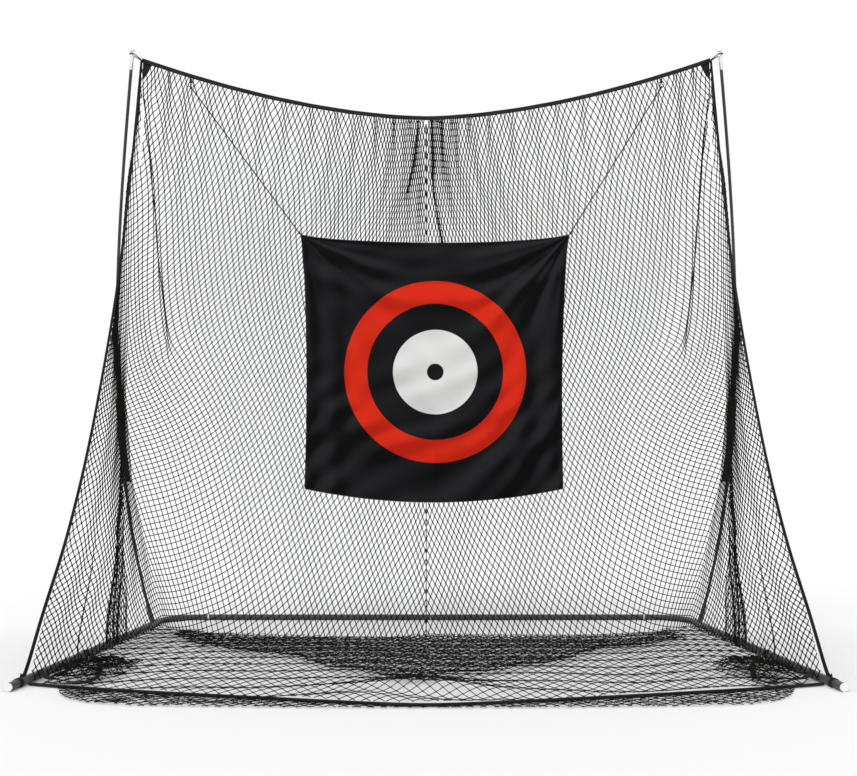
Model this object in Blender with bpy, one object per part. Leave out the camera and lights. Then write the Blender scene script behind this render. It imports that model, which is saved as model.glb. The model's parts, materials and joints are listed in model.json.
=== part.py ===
"""Free-standing golf hitting net: a U-shaped tube base, two bowed poles, a net bag and a hung target.

Run it with: blender --background --python part.py
Metres, +Z up.  The origin is on the floor at the middle of the footprint, the open front faces -Y,
and every paired piece is built once for each side (side = -1 is left, +1 is right).
"""

import math

import bmesh
import bpy
from mathutils import Vector

# ---------------------------------------------------------------- driving dimensions
GAP = 0.0004                     # clearance left between pieces that touch
SIDES = ((-1, "left"), (1, "right"))
UP = Vector((0, 0, 1))
BACK = Vector((0, 1, 0))

TUBE_SIDES = 16
TUBE_R = 0.0127                  # 1 inch steel tube
TUBE_WALL = 0.0012
TUBE_Z = TUBE_R * math.cos(math.pi / TUBE_SIDES)   # a flat of the tube lies on the floor
BASE_HALF_WIDTH = 1.220
BASE_DEPTH = 1.524
REAR_FACE_Y = 0.862
BEND_R = 0.150
RAIL_X = BASE_HALF_WIDTH - TUBE_R
BACK_Y = REAR_FACE_Y - TUBE_R
FRONT_Y = REAR_FACE_Y - BASE_DEPTH
RAIL_JOINT_Y = -0.020
BACK_JOINT_X = 1.018
CENTRE_JOINT_X = 0.020
JOINT_NECK = 0.009               # length of bare connector that shows between two tubes
CENTRE_NECK = 0.004
PLUG_HEAD = 0.003

CONNECTOR_R = 0.0111
CONNECTOR_WALL = 0.0011
CONNECTOR_FIXED = 0.034          # reach into the tube that the connector is crimped in
CONNECTOR_FREE = 0.055           # reach into the tube that its button locks
BUTTON_R = 0.0036
BUTTON_HOLE_R = 0.0042
BUTTON_OFFSET = 0.030            # from the joint to its button
FLANGE_R = 0.0048
BUTTON_PROFILE = (               # (height above the tube's axis, radius)
    (0.0068, FLANGE_R), (0.0079, FLANGE_R), (0.0079, BUTTON_R), (0.0142, BUTTON_R),
    (0.0153, 0.0028), (0.0158, 0.0012),
)
BUTTON_HOLE_DEPTH = 0.020        # reaches through the upper walls only
SPRING_LINE = (                  # leaf spring below a button, as (along the tube, up)
    (-0.0160, -0.0084), (0.0060, -0.0084), (0.0100, -0.0072), (0.0115, -0.0050),
    (0.0100, -0.0026), (0.0060, -0.0008), (-0.0160, 0.0056),
)
SPRING_HALF_WIDTH, SPRING_T = 0.0030, 0.0007
PLUG_PROFILE = (                 # (distance from the front of the rail, radius)
    (0.0000, TUBE_R - 0.0012), (0.0008, TUBE_R), (PLUG_HEAD, TUBE_R),
    (PLUG_HEAD, CONNECTOR_R), (0.0180, CONNECTOR_R - 0.0004),
)
PLUG_HOLLOW = ((0.0045, 0.0085), (0.0300, 0.0085))

POLE_R = 0.00635                 # half-inch fibreglass rod
POLE_TOP_Z = 2.372
TIP_TOP_Z = 2.400
POLE_FOOT = (RAIL_X - 0.0036, 0.625)
POLE_LEAN, POLE_BOW, POLE_EASE, POLE_RAKE = 0.2875, 0.1687, 0.0199, 0.283
POLE_BORE_R = 0.0069
POLE_SEAT_Z = 0.0350
POLE_JOINT_Z = 0.820
SOCKET_TOP_Z = 0.100
SOCKET_R = 0.0095
SADDLE_REACH = 0.050             # half length of the cutter that fits a socket to its rail
FERRULE_R, FERRULE_BORE_R = 0.0082, 0.0070
FERRULE_REACH = 0.045            # to each side of the pole's joint
SLEEVE_LOW_Z, SLEEVE_HIGH_Z = 0.640, 1.000
SLEEVE_TOP_REACH, SLEEVE_LOW_REACH = 0.0110, 0.0170    # half widths
SLEEVE_HALF_DEPTH = 0.0108
SLEEVE_OUTER = 0.0105            # from the pole's axis to the sleeve's outer edge
SLEEVE_T = 0.0010
TIP_DROP = 0.078                 # height of a tip ferrule
TIP_NECK = 0.0625                # along the ferrule to the groove that holds the corner loop
TIP_PROFILE = (                  # bore, then the outside: (distance along the ferrule, radius)
    (0.0530, 0.0069), (0.0000, 0.0069),
    (0.0000, 0.0086), (0.0020, 0.0095), (0.0530, 0.0095), (0.0550, 0.0085),
    (0.0570, 0.0060), (0.0690, 0.0060), (0.0710, 0.0104), (0.0740, 0.0110),
    (0.0785, 0.0092), (0.0815, 0.0050),
)

NET_T = 0.0020                   # thickness of the netting's solids
CORNER = Vector((1.160, 0.342, 2.354))             # top corner of the net
WEBBING_SAG_Z = 2.117
WEBBING_HALF = 0.0085
WEBBING_T = 0.0020
SIDE_EDGE = (                    # front edge of a side panel, as (y, z) from the top corner down
    (0.342, 2.354),
    (0.237, 1.824),
    (0.110, 1.330),
    (-0.090, 0.806),
    (-0.270, 0.455),
    (-0.450, 0.195),
    (-0.556, 0.036),
)
EDGE_STEPS = 16
WALL_ROWS = 12
WALL_FOOT_Y = 0.270              # the wall meets the floor well in front of the back tube
WALL_BELLY = 0.170               # how far the middle of the wall hangs back
NET_BEHIND_WEBBING = 0.008
NET_BELOW_WEBBING = 0.003
WALL_CORNER_DROP, SIDE_CORNER_DROP = 0.016, 0.020      # panels below the net's top corner
PANEL_GAP = 0.0045               # from the side panel's rear edge to the wall
FLOOR_GAP = 0.006                # from the wall's foot line to the floor panel
SEAM_BEHIND_WALL = 0.0030
SEAM_HALF, SEAM_T = 0.006, 0.0015
BINDING_HALF = 0.010
BINDING_GAP = 0.0025             # from the binding's edge to the side panel
NET_INSIDE_POLE = Vector((-0.032, 0.005, 0))           # rear corner line beside the pole
NET_LOW_Z = 0.004                # the wall panels end just above the floor panel
NET_FOOT_X = 1.188
REAR_FOOT = Vector((1.150, 0.600, NET_LOW_Z))
WALL_TURN_LOW, WALL_TURN_HIGH = 5.0, 3.0       # how late the wall turns back to its corners
WALL_TURN_Z = 0.8
ROPE_R = 0.005
ROPE_MID_Y = -0.839
ROPE_HALF_SPAN = 1.186
SKIRT_MID_Y, SKIRT_SIDE_Y = -0.8618, -0.812
SKIRT_HALF_WIDTH = 1.080
STRAP_PLACES = (("front", -0.600), ("middle", -0.120), ("rear", 0.170))
STRAP_HALF = 0.009
STRAP_START, STRAP_END = -48, 228                      # degrees round the rail, open below
LOOP_OUTER, LOOP_INNER = 0.0108, 0.0045                # past the ferrule's neck and the net's corner
LOOP_HALF_DEPTH, LOOP_DROP, LOOP_WIRE_R = 0.0120, 0.026, 0.0021

TARGET_TOP_Z, TARGET_LOW_Z = 1.632, 0.605
TARGET_TOP_SAG, TARGET_LOW_SAG = 0.024, 0.055
TARGET_TOP_X = (-0.503, 0.575)
TARGET_LOW_X = (-0.495, 0.558)
TARGET_PINCH = 0.012
TARGET_T = 0.0024
CORD_R = 0.0020
TAB_X = 0.960
EYE_R, EYE_WIRE_R = 0.0110, 0.0016
TAB_HALF, TAB_T = 0.004, 0.0024
TAB_LOOP_R, TAB_HOLE_R = 0.0046, 0.0034
TAB_DROP = 0.0155                # from the webbing's lower edge to the middle of the loop
TAB_TOP_GAP = 0.0028
CORNER_KNOT = (                  # (distance from the knot's middle, radius)
    (-0.0060, 0.0015), (-0.0040, 0.0042), (0.0000, 0.0050), (0.0040, 0.0042), (0.0065, CORD_R),
)
CORNER_KNOT_OFFSET = 0.0075      # from the sheet's corner to the middle of its knot
EYE_KNOT = ((0.0, CORD_R + 0.0004), (0.0030, 0.0044), (0.0070, 0.0044), (0.0095, 0.0020))
EYE_KNOT_OFFSET = 0.0060


# ---------------------------------------------------------------- building helpers
def clear_scene():
    for obj in list(bpy.data.objects):
        bpy.data.objects.remove(obj, do_unlink=True)


def make_material(name, colour, roughness, metallic=0.0):
    material = bpy.data.materials.new(name)
    material.use_nodes = True
    shader = material.node_tree.nodes["Principled BSDF"]
    shader.inputs["Base Color"].default_value = (*colour, 1.0)
    shader.inputs["Roughness"].default_value = roughness
    shader.inputs["Metallic"].default_value = metallic
    return material


def add_object(name, bm, material, origin=(0, 0, 0)):
    """Turn a bmesh that is in world coordinates into an object whose origin is at `origin`."""
    bmesh.ops.recalc_face_normals(bm, faces=bm.faces)
    bmesh.ops.translate(bm, verts=bm.verts, vec=-Vector(origin))
    mesh = bpy.data.meshes.new(name)
    bm.to_mesh(mesh)
    bm.free()
    mesh.materials.append(material)
    mesh.shade_smooth()
    mesh.set_sharp_from_angle(angle=math.radians(40))
    obj = bpy.data.objects.new(name, mesh)
    obj.location = origin
    bpy.context.collection.objects.link(obj)
    return obj


def loft(rings, closed=False):
    """Skin equal rings of points into a bmesh; the ends are capped unless the loft is closed."""
    bm = bmesh.new()
    verts = [[bm.verts.new(point) for point in ring] for ring in rings]
    spans = len(rings) if closed else len(rings) - 1
    sides = len(rings[0])
    for i in range(spans):
        near, far = verts[i], verts[(i + 1) % len(rings)]
        for j in range(sides):
            k = (j + 1) % sides
            bm.faces.new((near[j], near[k], far[k], far[j]))
    if not closed:
        bm.faces.new(verts[0])
        bm.faces.new(verts[-1])
    return bm


def tangents(path, closed=False):
    last = len(path) - 1
    found = []
    for i in range(len(path)):
        before = path[i - 1] if closed or i else path[0]
        after = path[(i + 1) % len(path)] if closed or i < last else path[last]
        found.append((after - before).normalized())
    return found


def round_rings(path, radii, sides, up=UP, closed=False):
    """One ring of points round each point of the path, with a flat side facing down."""
    rings = []
    for point, tangent, radius in zip(path, tangents(path, closed), radii):
        across = tangent.cross(up).normalized()
        rise = across.cross(tangent)
        turns = [(j + 0.5) * math.tau / sides for j in range(sides)]
        rings.append([point + radius * (math.cos(a) * across + math.sin(a) * rise) for a in turns])
    return rings


def add_rod(name, path, radius, sides, material, up=UP, origin=(0, 0, 0)):
    rings = round_rings(path, [radius] * len(path), sides, up)
    return add_object(name, loft(rings), material, origin)


def add_pipe(name, path, outer, inner, sides, material, up=UP):
    """A pipe that is open at both ends."""
    outside = round_rings(path, [outer] * len(path), sides, up)
    inside = round_rings(path, [inner] * len(path), sides, up)
    return add_object(name, loft(outside + inside[::-1], closed=True), material)


def add_turned(name, start, direction, profile, sides, material, up=UP, origin=(0, 0, 0)):
    """A turned piece; the profile is (distance along the axis, radius), capped at its two ends."""
    axis = Vector(direction).normalized()
    across = axis.cross(up).normalized()
    rise = across.cross(axis)
    rings = []
    for along, radius in profile:
        centre = Vector(start) + axis * along
        turns = [(j + 0.5) * math.tau / sides for j in range(sides)]
        rings.append([centre + radius * (math.cos(a) * across + math.sin(a) * rise) for a in turns])
    return add_object(name, loft(rings), material, origin)


def add_strip(name, path, normals, half_width, thickness, material, closed=False, origin=(0, 0, 0)):
    """A flat strap along the path; each normal points out of the strap's face."""
    rings = []
    for point, tangent, normal in zip(path, tangents(path, closed), normals):
        face = normal.normalized()
        across = tangent.cross(face).normalized() * half_width
        depth = face * (thickness / 2)
        rings.append([point + across + depth, point - across + depth,
                      point - across - depth, point + across - depth])
    return add_object(name, loft(rings, closed), material, origin)


def add_sheet(name, columns, rows, place, thickness, material, origin=(0, 0, 0)):
    """A sheet through place(u, v), with u and v from 0 to 1, made solid to both sides."""
    bm = bmesh.new()
    grid = [[bm.verts.new(place(i / columns, j / rows)) for i in range(columns + 1)]
            for j in range(rows + 1)]
    for j in range(rows):
        for i in range(columns):
            bm.faces.new((grid[j][i], grid[j][i + 1], grid[j + 1][i + 1], grid[j + 1][i]))
    obj = add_object(name, bm, material, origin)
    solidify = obj.modifiers.new("Thickness", "SOLIDIFY")
    solidify.thickness = thickness
    solidify.offset = 0.0
    return obj


def cut(obj, cutter, operation="DIFFERENCE"):
    """Boolean `cutter` into `obj`; the cutter stays in the file as a guide."""
    cutter.hide_render = True
    cutter.display_type = "WIRE"
    modifier = obj.modifiers.new(cutter.name, "BOOLEAN")
    modifier.operation = operation
    modifier.solver = "EXACT"
    modifier.object = cutter


def lerp(a, b, t):
    return a + (b - a) * t


def smooth_path(points, steps):
    """Catmull-Rom curve through the points, with `steps` equal parameter steps to each span."""
    ends = [points[0] * 2 - points[1]] + list(points) + [points[-1] * 2 - points[-2]]
    path = []
    for i in range(len(points) - 1):
        a, b, c, d = ends[i:i + 4]
        for k in range(steps):
            t = k / steps
            path.append(0.5 * (2 * b + (c - a) * t + (2 * a - 5 * b + 4 * c - d) * t**2
                               + (3 * b - a - 3 * c + d) * t**3))
    return path + [points[-1]]


def arc(centre, radius, start, end, steps):
    """Points of an arc in the floor plane, angles in degrees."""
    angles = [math.radians(lerp(start, end, k / steps)) for k in range(steps + 1)]
    return [centre + radius * Vector((math.cos(a), math.sin(a), 0)) for a in angles]


# ---------------------------------------------------------------- the object's own curves
def pole_point(side, z):
    """Axis of a pole: it leans out, bows back in and curves forward to its tip."""
    x = POLE_FOOT[0] + POLE_LEAN * z - POLE_BOW * z**2 + POLE_EASE * z**3
    y = POLE_FOOT[1] - POLE_RAKE * (z / TIP_TOP_Z) ** 2
    return Vector((side * x, y, z))


def tip_axis(side):
    """Lower end and direction of a tip ferrule, which sits on the end of its pole."""
    top, low = pole_point(side, TIP_TOP_Z), pole_point(side, TIP_TOP_Z - TIP_DROP)
    return low, (top - low).normalized()


def pole_path(side, low, high, steps):
    return [pole_point(side, lerp(low, high, k / steps)) for k in range(steps + 1)]


def webbing_z(x):
    """Height of the middle of the top webbing, which hangs between the net's top corners."""
    return WEBBING_SAG_Z + (CORNER.z - WEBBING_SAG_Z) * abs(x / CORNER.x) ** 1.7


def side_edge(side, t):
    """Front edge of a side panel, from the top corner (t = 0) to its tie on the rail (t = 1)."""
    high_x = CORNER.x + WEBBING_T / 2 + 0.0006
    points = [Vector((side * lerp(RAIL_X, high_x, z / CORNER.z), y, z)) for y, z in SIDE_EDGE]
    path = smooth_path(points, 6)
    place = t * (len(path) - 1)
    i = min(int(place), len(path) - 2)
    return path[i].lerp(path[i + 1], place - i)


def edge_share(v):
    """Share of the front edge that the binding, and the panel beside it, have at v."""
    return lerp(0.010, 1.0, v)


def side_edge_inset(side, t):
    """A point of the side panel beside the binding, just clear of it."""
    point = side_edge(side, t)
    along = side_edge(1, min(1.0, t + 0.02)) - side_edge(1, max(0.0, t - 0.02))
    to_rear = Vector((0, -along.z, along.y)).normalized()
    return point + to_rear * (BINDING_HALF + BINDING_GAP)


def corner_edge(side, z):
    """Rear corner of the net: from the top corner, along the inside of the pole, to its foot."""
    high = pole_point(1, SLEEVE_HIGH_Z) + NET_INSIDE_POLE
    low = pole_point(1, SLEEVE_LOW_Z) + NET_INSIDE_POLE
    if z > SLEEVE_HIGH_Z:
        point = high.lerp(CORNER, (z - SLEEVE_HIGH_Z) / (CORNER.z - SLEEVE_HIGH_Z))
    elif z > SLEEVE_LOW_Z:
        point = low.lerp(high, (z - SLEEVE_LOW_Z) / (SLEEVE_HIGH_Z - SLEEVE_LOW_Z))
    else:
        point = REAR_FOOT.lerp(low, (z - REAR_FOOT.z) / (SLEEVE_LOW_Z - REAR_FOOT.z))
    return Vector((side * point.x, point.y, z))


def rope_y(x):
    """Line of the front floor rope, pulled forward to a soft point at the middle."""
    return ROPE_MID_Y - 0.0215 + 0.215 * math.hypot(x, 0.1) + 0.030 * (x / 1.2) ** 6


def skirt_y(x):
    """Outer line of the loose netting in front of the rope."""
    share = abs(x) / SKIRT_HALF_WIDTH
    spread = lerp(SKIRT_MID_Y, SKIRT_SIDE_Y, share**2)
    return lerp(spread, rope_y(x) - ROPE_R - 0.004, share**12)


# ---------------------------------------------------------------- base frame
def build_connector(name, centre, axis, tube, button_at, materials):
    """Inner connector of one tube joint, with the snap button and the spring that lifts it."""
    centre, axis, button_at = Vector(centre), Vector(axis), Vector(button_at)
    ends = [centre - axis * CONNECTOR_FIXED, centre + axis * CONNECTOR_FREE]
    connector = add_pipe(f"{name}_connector", ends, CONNECTOR_R, CONNECTOR_R - CONNECTOR_WALL,
                         TUBE_SIDES, materials["plated_steel"])
    hole = add_turned(f"{name}_button_hole", button_at, UP,
                      ((0.0, BUTTON_HOLE_R), (BUTTON_HOLE_DEPTH, BUTTON_HOLE_R)), 12,
                      materials["plated_steel"], up=axis)
    cut(connector, hole)
    cut(tube, hole)
    add_turned(f"{name}_button", button_at, UP, BUTTON_PROFILE, 12, materials["button"], up=axis,
               origin=button_at)
    path = [button_at + axis * along + UP * rise for along, rise in SPRING_LINE]
    across = axis.cross(UP)
    normals = [across.cross(tangent) for tangent in tangents(path)]
    add_strip(f"{name}_button_spring", path, normals, SPRING_HALF_WIDTH, SPRING_T,
              materials["spring_steel"])


def build_base(materials):
    black, plug = materials["tube"], materials["end_plug"]
    wall = TUBE_R - TUBE_WALL
    neck, centre_neck = JOINT_NECK / 2, CENTRE_NECK / 2
    for side, word in SIDES:
        x = side * RAIL_X
        tube_start = FRONT_Y + PLUG_HEAD + GAP
        front = [Vector((x, tube_start, TUBE_Z)), Vector((x, RAIL_JOINT_Y - neck, TUBE_Z))]
        add_pipe(f"{word}_front_rail", front, TUBE_R, wall, TUBE_SIDES, black)

        centre = Vector((side * (RAIL_X - BEND_R), BACK_Y - BEND_R, TUBE_Z))
        bend = arc(centre, BEND_R, 0, 90, 7) if side > 0 else arc(centre, BEND_R, 180, 90, 7)
        rear = [Vector((x, RAIL_JOINT_Y + neck, TUBE_Z)), *bend,
                Vector((side * (BACK_JOINT_X + neck), BACK_Y, TUBE_Z))]
        rear_rail = add_pipe(f"{word}_rear_rail", rear, TUBE_R, wall, TUBE_SIDES, black)
        build_connector(f"{word}_rail", (x, RAIL_JOINT_Y, TUBE_Z), (0, 1, 0), rear_rail,
                        (x, RAIL_JOINT_Y + BUTTON_OFFSET, TUBE_Z), materials)

        inner_end = CENTRE_JOINT_X + side * centre_neck
        back = [Vector((side * (BACK_JOINT_X - neck), BACK_Y, TUBE_Z)),
                Vector((inner_end, BACK_Y, TUBE_Z))]
        back_tube = add_pipe(f"{word}_back_tube", back, TUBE_R, wall, TUBE_SIDES, black)
        build_connector(f"{word}_back", (side * BACK_JOINT_X, BACK_Y, TUBE_Z), (-side, 0, 0), back_tube,
                        (side * (BACK_JOINT_X - BUTTON_OFFSET), BACK_Y, TUBE_Z), materials)
        if side > 0:
            build_connector("centre_back", (CENTRE_JOINT_X, BACK_Y, TUBE_Z), (1, 0, 0), back_tube,
                            (CENTRE_JOINT_X + BUTTON_OFFSET, BACK_Y, TUBE_Z), materials)

        rail_end = (x, FRONT_Y, TUBE_Z)
        plug_body = add_turned(f"{word}_end_plug", rail_end, BACK, PLUG_PROFILE, TUBE_SIDES, plug)
        hollow = add_turned(f"{word}_plug_hollow", rail_end, BACK, PLUG_HOLLOW, TUBE_SIDES, plug)
        cut(plug_body, hollow)


def build_poles(materials):
    for side, word in SIDES:
        outside = pole_path(side, TUBE_Z, SOCKET_TOP_Z, 2)
        inside = pole_path(side, POLE_SEAT_Z - GAP, SOCKET_TOP_Z, 2)
        rings = (round_rings(outside, [SOCKET_R] * 3, 16, up=BACK)
                 + round_rings(inside, [POLE_BORE_R] * 3, 16, up=BACK)[::-1])
        socket = add_object(f"{word}_pole_socket", loft(rings), materials["tube"])
        rail = [Vector((side * RAIL_X, POLE_FOOT[1] - SADDLE_REACH, TUBE_Z)),
                Vector((side * RAIL_X, POLE_FOOT[1] + SADDLE_REACH, TUBE_Z))]
        cut(socket, add_rod(f"{word}_rail_saddle", rail, TUBE_R + GAP, TUBE_SIDES, materials["tube"]))

        rod, bright = materials["pole"], materials["ferrule"]
        low = pole_path(side, POLE_SEAT_Z, POLE_JOINT_Z - GAP, 10)
        high = pole_path(side, POLE_JOINT_Z, POLE_TOP_Z, 16)
        add_rod(f"{word}_lower_pole", low, POLE_R, 12, rod, up=BACK)
        add_rod(f"{word}_upper_pole", high, POLE_R, 12, rod, up=BACK)
        joint = pole_path(side, POLE_JOINT_Z - FERRULE_REACH, POLE_JOINT_Z + FERRULE_REACH, 4)
        add_pipe(f"{word}_pole_ferrule", joint, FERRULE_R, FERRULE_BORE_R, 12, bright, up=BACK)

        start, axis = tip_axis(side)
        add_turned(f"{word}_tip_ferrule", start, axis, TIP_PROFILE, 16, bright, up=BACK)


# ---------------------------------------------------------------- net
def wall_middle_y(v):
    """The wall's middle line hangs back in a belly and comes forward again to its foot."""
    foot = (WALL_FOOT_Y - CORNER.y) * v**6
    return CORNER.y + WALL_BELLY * math.sin(math.pi * v**1.3) + foot


def wall_foot_y(x):
    """Line where the wall meets the floor: straight at the middle, then back to the rear feet."""
    return lerp(WALL_FOOT_Y, REAR_FOOT.y, min(1.0, abs(x / REAR_FOOT.x)) ** WALL_TURN_LOW)


def back_panel_point(u, v):
    """u runs from the left corner to the right one, v from the top webbing down to the floor."""
    across = abs(2 * u - 1)
    edge_z = lerp(CORNER.z - WALL_CORNER_DROP, NET_LOW_Z, v)
    edge = corner_edge(1, edge_z)
    x = (2 * u - 1) * (edge.x - PANEL_GAP)
    middle_z = lerp(WEBBING_SAG_Z - WEBBING_HALF - NET_BELOW_WEBBING, NET_LOW_Z, v)
    power = lerp(WALL_TURN_LOW, WALL_TURN_HIGH, min(1.0, edge_z / WALL_TURN_Z))
    y = lerp(wall_middle_y(v), edge.y, across**power) + NET_BEHIND_WEBBING * (1 - v)
    return (x, y, lerp(middle_z, edge_z, across**2))


def side_panel_point(side):
    """Surface of a side panel: u runs from the rear corner to the front edge, v from top to floor."""
    def place(u, v):
        rear = corner_edge(side, lerp(CORNER.z - SIDE_CORNER_DROP, NET_LOW_Z, v))
        front = side_edge_inset(side, edge_share(v))
        front.x = lerp(front.x, side * NET_FOOT_X, v**24)
        front.z = lerp(front.z, NET_LOW_Z, v**24)
        rear.y -= NET_T
        return rear.lerp(front, u)
    return place


def floor_point(u, v):
    """Flat floor panel inside the tubes: v runs from the wall's foot to the rope."""
    across = 2 * u - 1
    x = across * NET_FOOT_X
    back = wall_foot_y(x) + FLOOR_GAP
    return (x, lerp(back, rope_y(x) + ROPE_R + 0.002, v), NET_T / 2)


def skirt_point(u, v):
    x = lerp(-SKIRT_HALF_WIDTH, SKIRT_HALF_WIDTH, u)
    return (x, lerp(rope_y(x) - ROPE_R - 0.001, skirt_y(x), v), NET_T / 2)


def build_net(materials):
    net, webbing = materials["netting"], materials["webbing"]
    add_sheet("net_back_panel", 20, WALL_ROWS, back_panel_point, NET_T, net)
    add_sheet("net_floor_panel", 24, 2, floor_point, NET_T, net)
    add_sheet("net_front_skirt", 20, 1, skirt_point, NET_T, net)

    steps = 20
    xs = [lerp(-CORNER.x, CORNER.x, k / steps) for k in range(steps + 1)]
    top = [Vector((x, CORNER.y, webbing_z(x))) for x in xs]
    add_strip("top_webbing", top, [BACK] * len(top), WEBBING_HALF, WEBBING_T, webbing)

    xs = [lerp(-ROPE_HALF_SPAN, ROPE_HALF_SPAN, k / steps) for k in range(steps + 1)]
    rope = [Vector((x, rope_y(x), ROPE_R + GAP)) for x in xs]
    add_rod("front_floor_rope", rope, ROPE_R, 8, webbing)

    behind = BACK * SEAM_BEHIND_WALL
    seam = [Vector(back_panel_point(0.5, k / WALL_ROWS)) + behind for k in range(WALL_ROWS + 1)]
    add_strip("centre_seam_tape", seam, [BACK] * len(seam), SEAM_HALF, SEAM_T, webbing)

    for side, word in SIDES:
        add_sheet(f"net_{word}_side_panel", 5, EDGE_STEPS, side_panel_point(side), NET_T, net)
        edge = [side_edge(side, edge_share(k / EDGE_STEPS)) for k in range(EDGE_STEPS + 1)]
        add_strip(f"{word}_side_binding", edge, [Vector((side, 0, 0))] * len(edge), BINDING_HALF,
                  WEBBING_T, webbing)
        build_sleeve(side, word, materials["sleeve"])
        build_corner_loop(side, word, materials["elastic"])
        build_rail_straps(side, word, webbing)


def build_sleeve(side, word, material):
    """Fabric sleeve that widens downwards and reaches towards the net it is sewn to."""
    steps, sides = 5, 14
    outside, inside = [], []
    for k in range(steps + 1):
        z = lerp(SLEEVE_HIGH_Z, SLEEVE_LOW_Z, k / steps)
        reach = lerp(SLEEVE_TOP_REACH, SLEEVE_LOW_REACH, k / steps)
        centre = pole_point(side, z) - Vector((side * (reach - SLEEVE_OUTER), 0, 0))
        for rings, less in ((outside, 0.0), (inside, SLEEVE_T)):
            turns = [j * math.tau / sides for j in range(sides)]
            rings.append([centre + Vector(((reach - less) * math.cos(a),
                                           (SLEEVE_HALF_DEPTH - less) * math.sin(a), 0))
                          for a in turns])
    add_object(f"{word}_pole_sleeve", loft(outside + inside[::-1], closed=True), material)


def build_corner_loop(side, word, material):
    """Elastic loop from the net's top corner round the neck of the tip ferrule."""
    start, axis = tip_axis(side)
    neck = start + axis * TIP_NECK
    far, near = abs(neck.x) + LOOP_OUTER, CORNER.x + LOOP_INNER
    path = []
    for k in range(20):
        turn = k * math.tau / 20
        x = lerp(near, far, (1 + math.cos(turn)) / 2)
        drop = LOOP_DROP * ((1 - math.cos(turn)) / 2) ** 1.5
        path.append(Vector((side * x, neck.y + LOOP_HALF_DEPTH * math.sin(turn), neck.z - drop)))
    rings = round_rings(path, [LOOP_WIRE_R] * len(path), 6, closed=True)
    add_object(f"{word}_corner_loop", loft(rings, closed=True), material)


def build_rail_straps(side, word, material):
    """Straps that tie the net to a side rail; each is left open under the tube."""
    radius = TUBE_R + GAP + WEBBING_T / 2
    angles = [math.radians(lerp(STRAP_START, STRAP_END, k / 14)) for k in range(15)]
    spokes = [Vector((math.cos(a), 0, math.sin(a))) for a in angles]
    for place, y in STRAP_PLACES:
        centre = Vector((side * RAIL_X, y, TUBE_Z))
        path = [centre + spoke * radius for spoke in spokes]
        add_strip(f"{word}_{place}_rail_strap", path, spokes, STRAP_HALF, WEBBING_T - GAP, material)


# ---------------------------------------------------------------- target
def hinge_point(side=0):
    """The target swings about the line through the loops of the two tabs."""
    return Vector((side * TAB_X, CORNER.y, webbing_z(TAB_X) - WEBBING_HALF - TAB_DROP))


def target_point(u, v):
    """The sheet hangs between its top corners; its edges sag and its sides pull in."""
    sag = 1 - (2 * u - 1) ** 2
    pinch = TARGET_PINCH * math.sin(math.pi * v)
    left = lerp(TARGET_TOP_X[0], TARGET_LOW_X[0], v) + pinch
    right = lerp(TARGET_TOP_X[1], TARGET_LOW_X[1], v) - pinch
    top = TARGET_TOP_Z - TARGET_TOP_SAG * sag
    low = TARGET_LOW_Z - TARGET_LOW_SAG * sag
    return (lerp(left, right, u), CORNER.y, lerp(top, low, v))


def build_target(materials):
    origin = hinge_point()
    add_sheet("target_sheet", 8, 6, target_point, TARGET_T, materials["target"], origin)
    for side, word in SIDES:
        hole = hinge_point(side)
        build_tab(hole, f"{word}_cord_tab", materials["webbing"])
        build_cord(side, hole, f"{word}_target_cord", materials["cord"], origin)


def build_tab(hole, name, material):
    """Strap below the top webbing that ends in a loop for the eye of a target cord."""
    half = Vector((TAB_HALF, 0, 0))
    tab = add_pipe(name, [hole - half, hole + half], TAB_LOOP_R, TAB_HOLE_R, 12, material)
    low = hole.z + (TAB_HOLE_R + TAB_LOOP_R) / 2
    high = webbing_z(TAB_X) - WEBBING_HALF - TAB_TOP_GAP
    ends = [Vector((hole.x, hole.y, low)), Vector((hole.x, hole.y, high))]
    strap = add_strip(f"{name}_strap", ends, [BACK] * 2, TAB_HALF - GAP / 2, TAB_T, material)
    cut(tab, strap, "UNION")


def build_cord(side, hole, name, material, origin):
    """Target cord: an eye through the tab, a knot below it, and a knot at the sheet's corner."""
    corner = Vector(target_point((side + 1) / 2, 0.0))
    eye = hole - Vector((0, 0, EYE_R))
    knot = eye - Vector((0, 0, EYE_R))
    line = (knot - corner).normalized()
    foot = corner + line * CORNER_KNOT_OFFSET
    turns = [k * math.tau / 14 for k in range(14)]
    loop = [eye + EYE_R * Vector((math.sin(a), 0, math.cos(a))) for a in turns]
    rings = round_rings(loop, [EYE_WIRE_R] * 14, 6, up=BACK, closed=True)
    cord = add_object(name, loft(rings, closed=True), material, origin)
    run = (*CORNER_KNOT, ((knot - foot).length, CORD_R))
    for part, start, profile in (("line", foot, run),
                                 ("knot", knot - line * EYE_KNOT_OFFSET, EYE_KNOT)):
        piece = add_turned(f"{name}_{part}", start, line, profile, 8, material, BACK, origin)
        cut(cord, piece, "UNION")


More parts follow.
